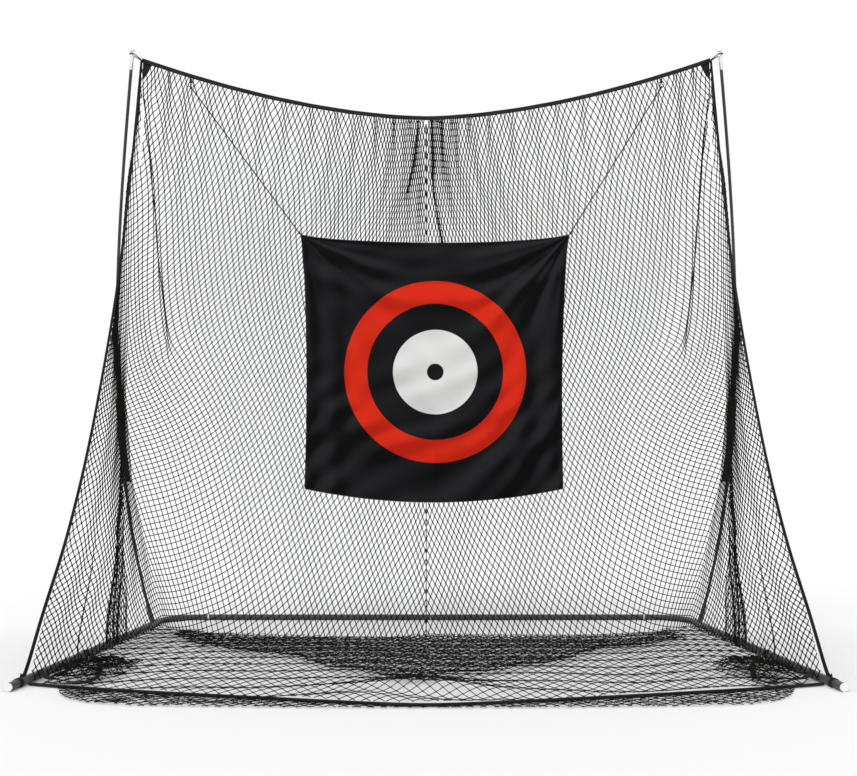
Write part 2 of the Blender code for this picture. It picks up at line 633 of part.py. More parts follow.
def build_materials():
    return {
        "tube": make_material("powder_coated_steel", (0.030, 0.030, 0.032), 0.42, 0.2),
        "plated_steel": make_material("plated_steel", (0.62, 0.62, 0.62), 0.35, 1.0),
        "spring_steel": make_material("spring_steel", (0.42, 0.43, 0.45), 0.35, 1.0),
        "button": make_material("nickel_button", (0.72, 0.71, 0.68), 0.25, 1.0),
        "end_plug": make_material("pale_plastic", (0.80, 0.80, 0.78), 0.45),
        "pole": make_material("black_fibreglass", (0.020, 0.020, 0.022), 0.35),
        "ferrule": make_material("bright_ferrule", (0.78, 0.77, 0.75), 0.28, 1.0),
        "netting": make_material("black_netting", (0.018, 0.018, 0.018), 0.85),
        "webbing": make_material("black_webbing", (0.016, 0.016, 0.017), 0.80),
        "sleeve": make_material("black_oxford_sleeve", (0.020, 0.020, 0.022), 0.75),
        "elastic": make_material("black_elastic", (0.022, 0.022, 0.022), 0.80),
        "cord": make_material("black_cord", (0.020, 0.020, 0.020), 0.80),
        "target": make_material("black_target_fabric", (0.020, 0.020, 0.023), 0.60),
    }


def main():
    clear_scene()
    materials = build_materials()
    build_base(materials)
    build_poles(materials)
    build_net(materials)
    build_target(materials)


main()
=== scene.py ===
"""Golf hitting net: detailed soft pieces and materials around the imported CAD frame.

Metres, +Z up.  The open front faces -Y and the origin is on the floor at the middle of the footprint.
Paired pieces are built once for each side (side = -1 is left, +1 is right).
"""

import json
import math

import bmesh
import bpy
import numpy as np
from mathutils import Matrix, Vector


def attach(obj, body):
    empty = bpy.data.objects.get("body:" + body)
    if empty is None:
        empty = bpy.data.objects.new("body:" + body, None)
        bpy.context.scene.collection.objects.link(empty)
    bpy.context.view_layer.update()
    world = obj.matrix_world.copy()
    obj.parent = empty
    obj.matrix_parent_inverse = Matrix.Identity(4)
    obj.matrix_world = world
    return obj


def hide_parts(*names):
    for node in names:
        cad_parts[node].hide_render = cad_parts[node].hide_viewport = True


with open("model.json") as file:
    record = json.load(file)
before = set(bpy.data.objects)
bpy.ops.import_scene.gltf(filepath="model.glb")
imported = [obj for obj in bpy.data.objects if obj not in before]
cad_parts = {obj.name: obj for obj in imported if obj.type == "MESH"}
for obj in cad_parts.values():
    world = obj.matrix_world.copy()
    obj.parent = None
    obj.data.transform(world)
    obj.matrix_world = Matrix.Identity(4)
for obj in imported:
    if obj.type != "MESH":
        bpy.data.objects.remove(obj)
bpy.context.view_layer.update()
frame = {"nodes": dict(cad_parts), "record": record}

ROOT = "net_and_frame"
TARGET = "target"
SIDES = ((-1, "left"), (1, "right"))
ACROSS, BACK, UP = Vector((1, 0, 0)), Vector((0, 1, 0)), Vector((0, 0, 1))

# ---- sizes shared with the CAD part
TUBE_R = 0.0127
TUBE_Z = TUBE_R * math.cos(math.pi / 16)
RAIL_X = 1.2073
POLE_FOOT = (RAIL_X - 0.0036, 0.625)
POLE_LEAN, POLE_BOW, POLE_EASE, POLE_RAKE = 0.2875, 0.1687, 0.0199, 0.283
TIP_TOP_Z = 2.400
TIP_DROP = 0.078
TIP_NECK = 0.0625
SLEEVE_LOW_Z, SLEEVE_HIGH_Z = 0.640, 1.000
SLEEVE_TOP_REACH, SLEEVE_LOW_REACH, SLEEVE_DEPTH = 0.0115, 0.0175, 0.0112
NET_INSIDE_POLE = Vector((-0.032, 0.005, 0))
CORNER = Vector((1.160, 0.342, 2.354))
EDGE_TOP_X = CORNER.x + 0.0016
WEBBING_SAG_Z = 2.117
WEBBING_HALF = 0.0085
SIDE_EDGE = (  # front edge of a side panel, as (y, z)
    (0.342, 2.354), (0.237, 1.824), (0.110, 1.330), (-0.090, 0.806),
    (-0.270, 0.455), (-0.450, 0.195), (-0.556, 0.036),
)
EDGE_END = -0.588, 0.0292
WALL_FOOT_Y = 0.270
WALL_BELLY = 0.170
NET_BEHIND_WEBBING = 0.008
WEBBING_THICK = 0.0024
BINDING_HALF, BINDING_THICK = 0.010, 0.0022
SEAM_R = 0.0021
SEAM_LOW_Z, SEAM_TOP_Z = 0.008, 2.085
NET_LOW_Z = 0.004
NET_FOOT_X = 1.188
REAR_FOOT = Vector((1.150, 0.600, NET_LOW_Z))
WALL_TURN_LOW, WALL_TURN_HIGH = 5.0, 3.0
WALL_TURN_Z = 0.8
ROPE_R = 0.005
ROPE_HALF_SPAN = 1.186
ROPE_MID_Y = -0.839
SKIRT_MID_Y = -0.8618
SKIRT_HALF_WIDTH = 1.080
STRAP_PLACES = ("front", -0.600), ("middle", -0.120), ("rear", 0.170)
STRAP_R = TUBE_R + 0.0015
STRAP_TURN = -48, 228  # degrees round the rail
TARGET_TOP_Z, TARGET_LOW_Z = 1.632, 0.605
TARGET_TOP_SAG, TARGET_LOW_SAG = 0.024, 0.055
TARGET_TOP_X = (-0.503, 0.575)
TARGET_LOW_X = (-0.495, 0.558)
TARGET_PINCH = 0.012
TARGET_EAR = 0.010
TAB_X = 0.960
TAB_LOOP_R, TAB_HALF = 0.0040, 0.0040
EYE_R = 0.0110

# ---- netting
BAR = 0.0254  # knot to knot
WALL_TWINE = 0.00175, 0.0040  # radii of the strands and of the knots
FLOOR_TWINE = 0.00115, 0.0026
LAYER_TWINE = 0.00090, 0.0021
BAND_TWINE = 0.0012, 0.0028
PILE_TWINE = 0.0014, 0.0030
SHORTEST_STRAND = 0.002
NET_TOP_Z = 2.40

DRAPE_LOW_Z, DRAPE_HIGH_Z = 0.004, 2.352
DRAPE_ROWS, DRAPE_COLUMNS = 118, 900
WALL_SAMPLES, SIDE_SAMPLES = 300, 200

RUFFLES = (  # along the top of the wall: (depth, lean, pitch, phase by side)
    (0.0050, 0.12, 0.083, 1.0),
    (0.0020, -0.07, 0.047, 0.0),
)
RUFFLE_REACH = 0.34  # how far below the webbing they fade
MIDDLE_GATHERS = (  # cloth drawn to the middle: (width, strength, lowest z, rise)
    (0.42, 0.30, 1.50, 0.50),
    (0.66, 0.18, 1.20, 0.90),
)
DARK_FOLDS = {  # by side: length outward at a height, lean, and the heights it spans
    -1: (0.072, 2.06, 0.20, 1.74, 3.00),
    1: (0.032, 1.88, 0.18, 1.48, 1.96),
}
CORNER_FOLD = 0.024, 2.15, 0.21, 1.15, 2.30  # the same, but with its length inward of the corner
TOP_CROWDING = 0.10  # share by which the cloth is drawn together near the top
GATHER_LINE = (0.0, 0.45, 0.75, 1.50), (0.46, 0.52, 0.36, 0.30)  # heights, shares of the panel
BAND_LOW_HALF, BAND_HIGH_HALF = 0.112, 0.010
BAND_LOW_Z, BAND_TOP_Z = 0.03, 0.75
BAND_CROWDING = 2.2
SLACK_INWARD, SLACK_OUTWARD = 0.034, 0.026  # how far the side panels hang in and stand out

FLOOR_LIFT = 0.0022
FLOOR_LATTICE_REACH = 2.0
SECOND_LAYER_HALF_WIDTH = 1.02
FOLD_EDGE_HALF, FOLD_EDGE_HALF_WIDTH = 0.011, 0.96
PILE_PLACE, PILE_REACH = (1.065, -0.400), (0.120, 0.200)
PILE_ANGLES = (35.0, 128.0), (62.0, 100.0)
FLOOR_BINDING = (
    (1.190, -0.500, 0.030), (1.150, -0.535, 0.016), (1.090, -0.560, 0.012),
    (1.030, -0.585, 0.010), (1.005, -0.520, 0.014), (1.035, -0.420, 0.024),
    (1.075, -0.330, 0.024), (1.130, -0.220, 0.018), (1.176, -0.130, 0.012),
)

# ---- print on the target
PRINT_X, PRINT_Z = 0.037, 1.081
RING_OUTER_R, RING_INNER_R, DISC_R, DOT_R = 0.3715, 0.2775, 0.1725, 0.034
PRINT_SOFT = 0.0010
PRINT_WOBBLE = 0.0012


def lerp(a, b, t):
    return a + (b - a) * t


def smooth(t):
    t = np.clip(t, 0.0, 1.0)
    return t * t * (3 - 2 * t)


def bump(x, centre, width):
    """A smooth bump of height 1 about centre."""
    return np.exp(-(((x - centre) / width) ** 2))


# ---- camera, light and floor
CAMERA_PLACE = (0.0, -3.082, 0.542)
CAMERA_LENS, SENSOR_WIDTH = 35.24, 36.0
CAMERA_SHIFT_X, CAMERA_SHIFT_Y = 0.0027, 0.1354
SOFT_LIGHT, LIGHT_SPREAD = 1.2, math.radians(60)
TO_LIGHT = Vector((-0.35, -0.60, 0.72)).normalized()
FLOOR_SHADE = 1.015 / (1 + SOFT_LIGHT * TO_LIGHT.z / math.pi)  # lit, about as bright as the sky
FLOOR_RADIUS, FLOOR_Z = 30.0, -0.001


def build_stage():
    camera = bpy.data.cameras.new("camera")
    camera.sensor_width = SENSOR_WIDTH
    camera.lens = CAMERA_LENS
    camera.shift_x = CAMERA_SHIFT_X
    camera.shift_y = CAMERA_SHIFT_Y
    camera.dof.use_dof = False
    holder = bpy.data.objects.new("camera", camera)
    holder.location = CAMERA_PLACE
    holder.rotation_euler = (math.radians(90), 0, 0)
    bpy.context.collection.objects.link(holder)
    bpy.context.scene.camera = holder

    world = bpy.data.worlds.new("studio")
    world.use_nodes = True
    sky = world.node_tree.nodes["Background"]
    sky.inputs["Color"].default_value = (1.0, 1.0, 1.0, 1.0)
    sky.inputs["Strength"].default_value = 1.0
    bpy.context.scene.world = world

    light = bpy.data.lights.new("soft_light", "SUN")
    light.energy = SOFT_LIGHT
    light.angle = LIGHT_SPREAD
    lamp = bpy.data.objects.new("soft_light", light)
    lamp.rotation_euler = (-TO_LIGHT).to_track_quat("-Z", "Y").to_euler()
    bpy.context.collection.objects.link(lamp)

    bm = bmesh.new()
    bmesh.ops.create_circle(bm, cap_ends=True, segments=64, radius=FLOOR_RADIUS)
    bmesh.ops.translate(bm, verts=bm.verts, vec=(0, 0, FLOOR_Z))
    floor = mesh_object("floor", bm, stage_material())

    scene = bpy.context.scene
    scene.view_settings.view_transform = "Standard"
    scene.view_settings.look = "None"


# ---- material helpers
def new_material(name, colour, roughness, metallic=0.0):
    material = bpy.data.materials.new(name)
    material.use_nodes = True
    shader = material.node_tree.nodes["Principled BSDF"]
    shader.inputs["Base Color"].default_value = (*colour, 1.0)
    shader.inputs["Roughness"].default_value = roughness
    shader.inputs["Metallic"].default_value = metallic
    return material


MIX_SHARE, MIX_A, MIX_B, MIX_RESULT = 0, 6, 7, 2  # a Mix node's sockets for colours


class Nodes:
    """Short calls for building a material's node tree."""

    def __init__(self, material):
        self.tree = material.node_tree
        self.shader = self.tree.nodes["Principled BSDF"]

    def link(self, value, socket):
        if isinstance(value, (int, float, tuple)):
            socket.default_value = value
        else:
            self.tree.links.new(value, socket)

    def add(self, kind, inputs=None, **settings):
        node = self.tree.nodes.new(kind)
        for key, value in settings.items():
            setattr(node, key, value)
        for key, value in (inputs or {}).items():
            self.link(value, node.inputs[key])
        return node

    def point(self):
        return self.add("ShaderNodeTexCoord").outputs["Object"]

    def noise(self, scale, detail):
        node = self.add("ShaderNodeTexNoise", {"Vector": self.point(), "Scale": scale,
                                               "Detail": detail})
        return node.outputs["Fac"]

    def maths(self, operation, a, b=0.0, clamp=False):
        node = self.add("ShaderNodeMath", {0: a, 1: b}, operation=operation, use_clamp=clamp)
        return node.outputs["Value"]

    def remap(self, value, low, high, to_low=0.0, to_high=1.0):
        node = self.add("ShaderNodeMapRange", {"Value": value, "From Min": low, "From Max": high,
                                               "To Min": to_low, "To Max": to_high})
        return node.outputs["Result"]

    def mix(self, share, a, b):
        node = self.tree.nodes.new("ShaderNodeMix")
        node.data_type = "RGBA"
        for value, place in ((share, MIX_SHARE), (a, MIX_A), (b, MIX_B)):
            self.link(value, node.inputs[place])
        return node.outputs[MIX_RESULT]

    def colour(self, value):
        self.link(value, self.shader.inputs["Base Color"])

    def roughness(self, scale, detail, low, high):
        """Gloss that varies over the surface between two values of roughness."""
        value = self.remap(self.noise(scale, detail), 0.2, 0.8, low, high)
        self.link(value, self.shader.inputs["Roughness"])

    def bump(self, height, strength, distance):
        node = self.add("ShaderNodeBump", {"Height": height, "Strength": strength,
                                           "Distance": distance})
        self.link(node.outputs["Normal"], self.shader.inputs["Normal"])

    def weave(self, pitch):
        """Over-and-under threads on all three planes, from 0 in the gaps to 1 on the threads."""
        split = self.add("ShaderNodeSeparateXYZ", {"Vector": self.point()})
        waves = [self.maths("SINE", self.maths("MULTIPLY", split.outputs[axis], math.tau / pitch))
                 for axis in "XYZ"]
        across = self.maths("ADD", self.maths("MULTIPLY", waves[0], waves[2]),
                            self.maths("MULTIPLY", waves[1], waves[2]))
        return self.remap(across, -1.2, 1.2)


def stage_material():
    material = new_material("pale_floor", (FLOOR_SHADE,) * 3, 1.0)
    Nodes(material).shader.inputs["Specular IOR Level"].default_value = 0.0
    return material


def hard_material(name, colour, roughness, metallic, grain, wear):
    """A coated, plated or moulded surface: fine grain, uneven gloss and paler patches."""
    material = new_material(name, colour, roughness, metallic)
    nodes = Nodes(material)
    patches = nodes.noise(9.0, 4.0)
    pale = tuple(min(1.0, c * wear + 0.004) for c in colour)
    nodes.colour(nodes.mix(nodes.remap(patches, 0.35, 0.75), (*colour, 1.0), (*pale, 1.0)))
    nodes.roughness(60.0, 3.0, roughness - 0.07, roughness + 0.10)
    nodes.bump(nodes.noise(grain, 2.0), 0.25, 0.0002)
    return material


def woven_material(name, colour, roughness, pitch):
    """Woven or braided black fabric, with its threads and worn paler patches."""
    material = new_material(name, colour, roughness)
    nodes = Nodes(material)
    threads = nodes.weave(pitch)
    gap, thread, worn = ((*[c * share for c in colour], 1.0) for share in (0.55, 1.8, 2.4))
    patches = nodes.remap(nodes.noise(14.0, 4.0), 0.35, 0.8, 0.0, 0.5)
    nodes.colour(nodes.mix(patches, nodes.mix(threads, gap, thread), worn))
    nodes.roughness(40.0, 2.0, roughness - 0.08, roughness + 0.08)
    nodes.bump(threads, 0.6, pitch * 0.25)
    nodes.shader.inputs["Specular IOR Level"].default_value = 0.12
    return material


def twine_material(name, colour, gloss):
    """Black twine: its twisted fibres catch the light unevenly along each strand.

    The colour stays a plain value, because a picture of it laid over so many strands would be
    finer than its own dots.
    """
    material = new_material(name, colour, 1.0)
    nodes = Nodes(material)
    lay = nodes.noise(900.0, 2.0)
    patches = nodes.noise(22.0, 3.0)
    nodes.link(nodes.maths("MULTIPLY", nodes.remap(lay, 0.3, 0.7, 0.2, 2.4), gloss),
               nodes.shader.inputs["Specular IOR Level"])
    nodes.link(nodes.remap(patches, 0.3, 0.7, 0.0, 0.04), nodes.shader.inputs["Sheen Weight"])
    return material


def target_material():
    """Black satin oxford with a printed ring and disc; the disc has a plain dot."""
    material = new_material("target_oxford", (0.012, 0.012, 0.014), 0.5)
    nodes = Nodes(material)
    split = nodes.add("ShaderNodeSeparateXYZ", {"Vector": nodes.point()})
    wobble = nodes.maths("SUBTRACT", nodes.noise(30.0, 2.0), 0.5)
    wobble = nodes.maths("MULTIPLY", wobble, PRINT_WOBBLE)
    dx = nodes.maths("SUBTRACT", split.outputs["X"], PRINT_X)
    dz = nodes.maths("SUBTRACT", split.outputs["Z"], PRINT_Z)
    squared = nodes.maths("ADD", nodes.maths("MULTIPLY", dx, dx), nodes.maths("MULTIPLY", dz, dz))
    radius = nodes.maths("ADD", nodes.maths("SQRT", squared), wobble)

    def within(limit):
        return nodes.remap(radius, limit + PRINT_SOFT, limit - PRINT_SOFT)

    threads = nodes.weave(0.0011)
    # Painted fold light and shade: the attribute read here is each fold's slope towards a light at the
    # upper left; the cloth is painted paler on faces tilted towards it, a painted highlight.
    folds = nodes.add("ShaderNodeAttribute", attribute_name="fold_shading").outputs["Fac"]
    fold_shading = nodes.remap(folds, -0.14, 0.20)
    cloth = nodes.mix(threads, (0.0008, 0.0008, 0.0010, 1.0), (0.0026, 0.0026, 0.0032, 1.0))
    pale = nodes.mix(threads, (0.0070, 0.0070, 0.0085, 1.0), (0.0150, 0.0150, 0.0178, 1.0))
    cloth = nodes.mix(fold_shading, cloth, pale)
    # worn mixes random wear patches with painted fold shade: red and white are painted darker on fold
    # faces tilted away from the light.
    worn = nodes.maths("ADD", nodes.remap(nodes.noise(7.0, 5.0), 0.3, 0.8, 0.0, 0.3),
                       nodes.remap(folds, -0.13, 0.07, 0.9, 0.0), True)
    red = nodes.mix(worn, (0.60, 0.020, 0.005, 1.0), (0.44, 0.012, 0.003, 1.0))
    white = nodes.mix(worn, (0.70, 0.70, 0.69, 1.0), (0.47, 0.47, 0.46, 1.0))
    shade = nodes.mix(within(RING_OUTER_R), cloth, red)
    shade = nodes.mix(within(RING_INNER_R), shade, cloth)
    shade = nodes.mix(within(DISC_R), shade, white)
    shade = nodes.mix(within(DOT_R), shade, cloth)
    nodes.colour(shade)
    nodes.roughness(50.0, 3.0, 0.44, 0.58)
    nodes.bump(threads, 0.35, 0.0002)
    nodes.shader.inputs["Specular IOR Level"].default_value = 0.06
    return material


HARD_FINISHES = {  # slot: (name, colour, roughness, metallic, grain, wear)
    "powder_coated_tube": ("satin_powder_coat", (0.040, 0.040, 0.042), 0.42, 0.0, 700.0, 1.5),
    "plated_connector": ("zinc_plate", (0.60, 0.60, 0.59), 0.34, 1.0, 300.0, 1.15),
    "nickel_button": ("nickel_plate", (0.70, 0.69, 0.66), 0.24, 1.0, 400.0, 1.1),
    "spring_steel": ("blued_spring", (0.40, 0.41, 0.44), 0.35, 1.0, 300.0, 1.2),
    "pale_end_plug": ("moulded_plug", (0.74, 0.74, 0.72), 0.5, 0.0, 500.0, 1.1),
    "fibreglass_pole": ("black_fibreglass", (0.016, 0.016, 0.018), 0.30, 0.0, 900.0, 1.6),
    "bright_ferrule": ("bright_ferrule", (0.80, 0.79, 0.77), 0.24, 1.0, 350.0, 1.1),
}
WOVEN_FINISHES = {  # slot: (name, colour, roughness, pitch of the threads)
    "webbing": ("black_webbing", (0.012, 0.012, 0.013), 0.8, 0.0022),
    "floor_rope": ("braided_rope", (0.012, 0.012, 0.013), 0.85, 0.0030),
    "sleeve_fabric": ("oxford_sleeve", (0.009, 0.009, 0.010), 0.65, 0.0014),
    "elastic_cord": ("braided_elastic", (0.014, 0.014, 0.015), 0.75, 0.0012),
}
TWINE_FINISHES = {  # slot: (name, colour, gloss)
    "netting": ("knotted_twine", (0.010, 0.010, 0.009), 0.020),
    "net_knots": ("twine_knots", (0.007, 0.007, 0.007), 0.012),
}

MATERIALS = {"target_fabric": target_material()}
for make, finishes in ((hard_material, HARD_FINISHES), (woven_material, WOVEN_FINISHES),
                       (twine_material, TWINE_FINISHES)):
    MATERIALS.update({slot: make(*row) for slot, row in finishes.items()})


# ---- mesh helpers
def mesh_object(name, bm, material, smooth_shade=False):
    bmesh.ops.recalc_face_normals(bm, faces=bm.faces)
    mesh = bpy.data.meshes.new(name)
    bm.to_mesh(mesh)
    bm.free()
    return place_mesh(name, mesh, material, smooth_shade)


def place_mesh(name, mesh, material, smooth_shade=False):
    mesh.materials.append(material)
    if smooth_shade:
        mesh.shade_smooth()
    obj = bpy.data.objects.new(name, mesh)
    bpy.context.collection.objects.link(obj)
    return obj


def array_object(name, points, faces, material, smooth_shade=False):
    """An object from a numpy array of points and one of faces with equal sides."""
    mesh = bpy.data.meshes.new(name)
    mesh.vertices.add(len(points))
    mesh.vertices.foreach_set("co", np.ascontiguousarray(points, dtype=np.float32).ravel())
    corners = faces.shape[1]
    mesh.loops.add(faces.size)
    mesh.loops.foreach_set("vertex_index", np.ascontiguousarray(faces, dtype=np.int32).ravel())
    mesh.polygons.add(len(faces))
    mesh.polygons.foreach_set("loop_start", np.arange(0, faces.size, corners, dtype=np.int32))
    mesh.update(calc_edges=True)
    return place_mesh(name, mesh, material, smooth_shade)


def finish_piece(obj, body, slot, *nodes):
    """Rides obj on a body and hides the CAD nodes that it replaces; slot is not used."""
    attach(obj, body)
    if nodes:
        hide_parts(*nodes)
    return obj


def make_piece(name, bm, slot, *nodes, body=ROOT):
    """A smooth piece from bm with its slot's material, riding on a body."""
    return finish_piece(mesh_object(name, bm, MATERIALS[slot], True), body, slot, *nodes)


def thicken(piece, thickness, offset=-1.0):
    cloth = piece.modifiers.new("cloth", "SOLIDIFY")
    cloth.thickness = thickness
    cloth.offset = offset


def turns(count):
    """Angles evenly round a circle."""
    return [k * math.tau / count for k in range(count)]


def tangents(points, closed=False):
    first, last = (points[-1], points[0]) if closed else (points[0], points[-1])
    line = [first, *points, last]
    return [(after - before).normalized() for before, after in zip(line, line[2:])]


def tube_faces(bm, rings, closed=False, caps=True):
    made = [[bm.verts.new(p) for p in ring] for ring in rings]
    count = len(made[0])
    spans = len(made) if closed else len(made) - 1
    for i in range(spans):
        low, high = made[i], made[(i + 1) % len(made)]
        for j in range(count):
            k = (j + 1) % count
            bm.faces.new((low[j], low[k], high[k], high[j]))
    if caps and not closed:
        bm.faces.new(made[0][::-1])
        bm.faces.new(made[-1])


def add_tube(bm, points, radius, sides, closed=False, up=UP, lay=0.0):
    """A round cord along points; lay twists a three-lobed section along it, in turns per metre."""
    rings = []
    run = 0.0
    for i, (point, along) in enumerate(zip(points, tangents(points, closed))):
        if i:
            run += (point - points[i - 1]).length
        side = along.cross(up)
        if side.length < 1e-4:
            side = along.cross(ACROSS)
        side.normalize()
        other = side.cross(along)
        ring = []
        for turn in turns(sides):
            r = radius
            if lay:
                r *= 0.90 + 0.10 * abs(math.cos(1.5 * (turn + math.tau * lay * run)))
            ring.append(point + r * (math.cos(turn) * side + math.sin(turn) * other))
        rings.append(ring)
    tube_faces(bm, rings, closed)


def add_ribbon(bm, points, normals, half, thick, closed=False):
    """A flat strap along points with rounded edges; normals give the direction of its thickness."""
    section = [(-1.0, 0.0), (-0.94, 0.85), (-0.80, 1.0), (0.0, 1.0), (0.80, 1.0), (0.94, 0.85),
               (1.0, 0.0), (0.94, -0.85), (0.80, -1.0), (0.0, -1.0), (-0.80, -1.0), (-0.94, -0.85)]
    rings = []
    for point, along, normal in zip(points, tangents(points, closed), normals):
        across = along.cross(normal).normalized()
        out = across.cross(along).normalized()
        rings.append([point + across * (a * half) + out * (b * thick / 2) for a, b in section])
    tube_faces(bm, rings, closed)


def resample(points, count):
    """count points spread evenly by length along a polyline."""
    at = [0.0]
    for a, b in zip(points, points[1:]):
        at.append(at[-1] + (b - a).length)
    coords = np.array([tuple(p) for p in points])
    places = np.linspace(0, at[-1], count)
    columns = [np.interp(places, at, coords[:, axis]) for axis in range(3)]
    return [Vector(p) for p in zip(*columns)]


def smooth_path(points, steps):
    """Catmull-Rom curve through points."""
    ends = [2 * points[0] - points[1], *points, 2 * points[-1] - points[-2]]
    path = []
    for a, b, c, d in zip(ends, ends[1:], ends[2:], ends[3:]):
        for k in range(steps):
            t = k / steps
            path.append(0.5 * (2 * b + (c - a) * t + (2 * a - 5 * b + 4 * c - d) * t**2
                               + (3 * b - a - 3 * c + d) * t**3))
    return path + [points[-1]]


# ---- lines of the net
def pole_point(side, z):
    x = POLE_FOOT[0] + POLE_LEAN * z - POLE_BOW * z**2 + POLE_EASE * z**3
    y = POLE_FOOT[1] - POLE_RAKE * (z / TIP_TOP_Z) ** 2
    return Vector((side * x, y, z))


def webbing_z(x):
    return WEBBING_SAG_Z + (CORNER.z - WEBBING_SAG_Z) * abs(x / CORNER.x) ** 1.7


def corner_edge(z):
    """Rear corner line of the right half of the net, as (x, y)."""
    low, high = (pole_point(1, level) + NET_INSIDE_POLE for level in (SLEEVE_LOW_Z, SLEEVE_HIGH_Z))
    knots = (REAR_FOOT, low, high, CORNER)
    heights = [p.z for p in knots]
    return (np.interp(z, heights, [p.x for p in knots]), np.interp(z, heights, [p.y for p in knots]))


def front_edge(z):
    """Front edge of the right side panel, as (x, y)."""
    path = smooth_path([Vector((0, y, high)) for y, high in SIDE_EDGE], 6)[::-1]
    x = lerp(RAIL_X, EDGE_TOP_X, z / CORNER.z)
    return (x, np.interp(z, [p.z for p in path], [p.y for p in path]))


def side_edge_path(side, count):
    """Front edge of a side panel down to its end on top of the rail."""
    points = [Vector((side * lerp(RAIL_X, EDGE_TOP_X, z / CORNER.z), y, z)) for y, z in SIDE_EDGE]
    points.append(Vector((side * RAIL_X, *EDGE_END)))
    return resample(smooth_path(points, 6), count)


def wall_middle_y(v):
    foot = (WALL_FOOT_Y - CORNER.y) * v**6
    return CORNER.y + WALL_BELLY * np.sin(math.pi * v**1.3) + foot


def wall_y(x, z):
    """Depth of the net wall at (x, z), without its ruffles."""
    edge_x = corner_edge(z)[0]
    across = np.clip(np.abs(x) / edge_x, 0.0, 1.0)
    rise = across**2
    low, high = WEBBING_SAG_Z - WEBBING_HALF - 0.003, CORNER.z - 0.016
    top = lerp(low, high, rise)
    v = np.clip((top - z) / (top - NET_LOW_Z), 0.0, 1.0)
    edge_z = lerp(high, NET_LOW_Z, v)
    edge_y = corner_edge(edge_z)[1]
    power = lerp(WALL_TURN_LOW, WALL_TURN_HIGH, np.minimum(1.0, edge_z / WALL_TURN_Z))
    return lerp(wall_middle_y(v), edge_y, across**power) + NET_BEHIND_WEBBING * (1 - v)


def rope_y(x):
    return ROPE_MID_Y - 0.0215 + 0.215 * np.hypot(x, 0.1) + 0.030 * (x / 1.2) ** 6


# ---- drape of the wall and sides
def gathered(s, centre, width, strength):
    """Shift that draws the cloth towards centre; a strength over 1 folds it over itself."""
    return -strength * (s - centre) * np.exp(-(((s - centre) / width) ** 2))


def wall_gathers(s, z, side):
    """Folds in the wall: cloth drawn to its middle, a dark fold beside it, ruffles along the top."""
    below = webbing_z(s) - z
    near_top = np.exp(-below / RUFFLE_REACH) * (1 - 0.6 * bump(s, 0.0, 0.25))
    shift = 0.0035 * np.sin(math.tau * (s - 0.16 * z) / 0.27 + side) * smooth(below / 0.4)
    for depth, lean, pitch, phase in RUFFLES:
        shift += depth * near_top * np.sin(math.tau * (s + lean * z) / pitch + phase * side)
    for width, strength, low, rise in MIDDLE_GATHERS:
        shift += gathered(s, 0.0, width, strength * smooth((z - low) / rise))
    place, level, lean, low, high = DARK_FOLDS[side]
    fold = place + lean * (level - z)
    held = smooth((z - low) / 0.16) * smooth((high - z) / 0.10)
    shift += gathered(s, fold, 0.048, 0.46 * held) + gathered(s, fold, 0.016, 0.30 * held)
    return shift * smooth(s / 0.06)


def corner_gathers(s, z, corner):
    """Cloth drawn towards the top corner, and the long fold that runs down from it."""
    inward, level, lean, low, high = CORNER_FOLD
    fold = corner - inward - lean * (level - z)
    held = smooth((z - low) / 0.10) * smooth((high - z) / 0.10)
    shift = gathered(s, fold, 0.046, 0.80 * held) + gathered(s, fold, 0.016, 0.50 * held)
    return shift + gathered(s, corner, 0.30, 0.36 * smooth((z - 0.8) / 0.5))


def gather_place(z):
    """Where a side panel's gather band hangs, as a share of the panel's width from the rear."""
    return np.interp(z, *GATHER_LINE)


def side_gathers(share, z):
    """Cloth drawn into the gather band of a side panel and slack folds beside it, as shares."""
    place = gather_place(z)
    strength = smooth((1.35 - z) / 0.8) * smooth(z / 0.05)
    shift = gathered(share, place, 0.110, 0.80 * strength)
    for offset in (-0.026, 0.0, 0.026):
        shift += gathered(share, place + offset, 0.014, 2.2 * strength * smooth((0.80 - z) / 0.4))
    shift += gathered(share, place + 0.27, 0.020, 1.5 * strength * smooth((0.5 - z) / 0.2))
    shift += 0.006 * np.sin(math.tau * (share * 5.0 + z * 0.7)) * smooth(z / 0.2)
    return shift


def wall_depth(x, z, side):
    """How far the folds stand forward or back of the wall's smooth surface."""
    below = webbing_z(x) - z
    lean, pitch = RUFFLES[0][1:3]
    depth = 0.0060 * np.exp(-below / RUFFLE_REACH) * np.sin(math.tau * (x + lean * z) / pitch + side)
    depth += 0.0080 * np.sin(math.tau * (x - 0.16 * z) / 0.27 + 1.3 * side) * smooth(below / 0.3)
    return depth * smooth(z / 0.08)


def side_bulge(share, z):
    """A side panel's slack hangs inward low down and stands a little outward higher up."""
    forward = np.sin(math.pi * np.clip(share, 0, 1) ** 1.7)
    inward = SLACK_INWARD * forward * smooth(z / 0.35) * smooth((1.55 - z) / 1.0)
    outward = SLACK_OUTWARD * np.sin(math.pi * share)
    return inward - outward * smooth((z - 0.9) / 0.4) * smooth((2.2 - z) / 0.4)


def drape_row(z):
    """One level line of the net, from the middle of the wall round the pole to the front edge."""
    edge_x, edge_y = corner_edge(z)
    x = np.linspace(0.0, edge_x - 0.0045, WALL_SAMPLES)
    y = wall_y(x, np.full_like(x, z))
    front_x, front_y = front_edge(max(z, 0.036))
    front_x = lerp(front_x, NET_FOOT_X, (1 - z / CORNER.z) ** 24)
    rear_y = edge_y - 0.002
    front_y = min(front_y + 0.0135, rear_y - 0.001)
    share = np.linspace(0.0, 1.0, SIDE_SAMPLES)
    side_x = lerp(edge_x, front_x, share) - side_bulge(share, z)
    side_y = lerp(rear_y, front_y, share)
    path = np.stack([np.concatenate([x, side_x]), np.concatenate([y, side_y])], axis=1)
    length = np.concatenate([[0.0], np.cumsum(np.hypot(*np.diff(path, axis=0).T))])
    return path, length


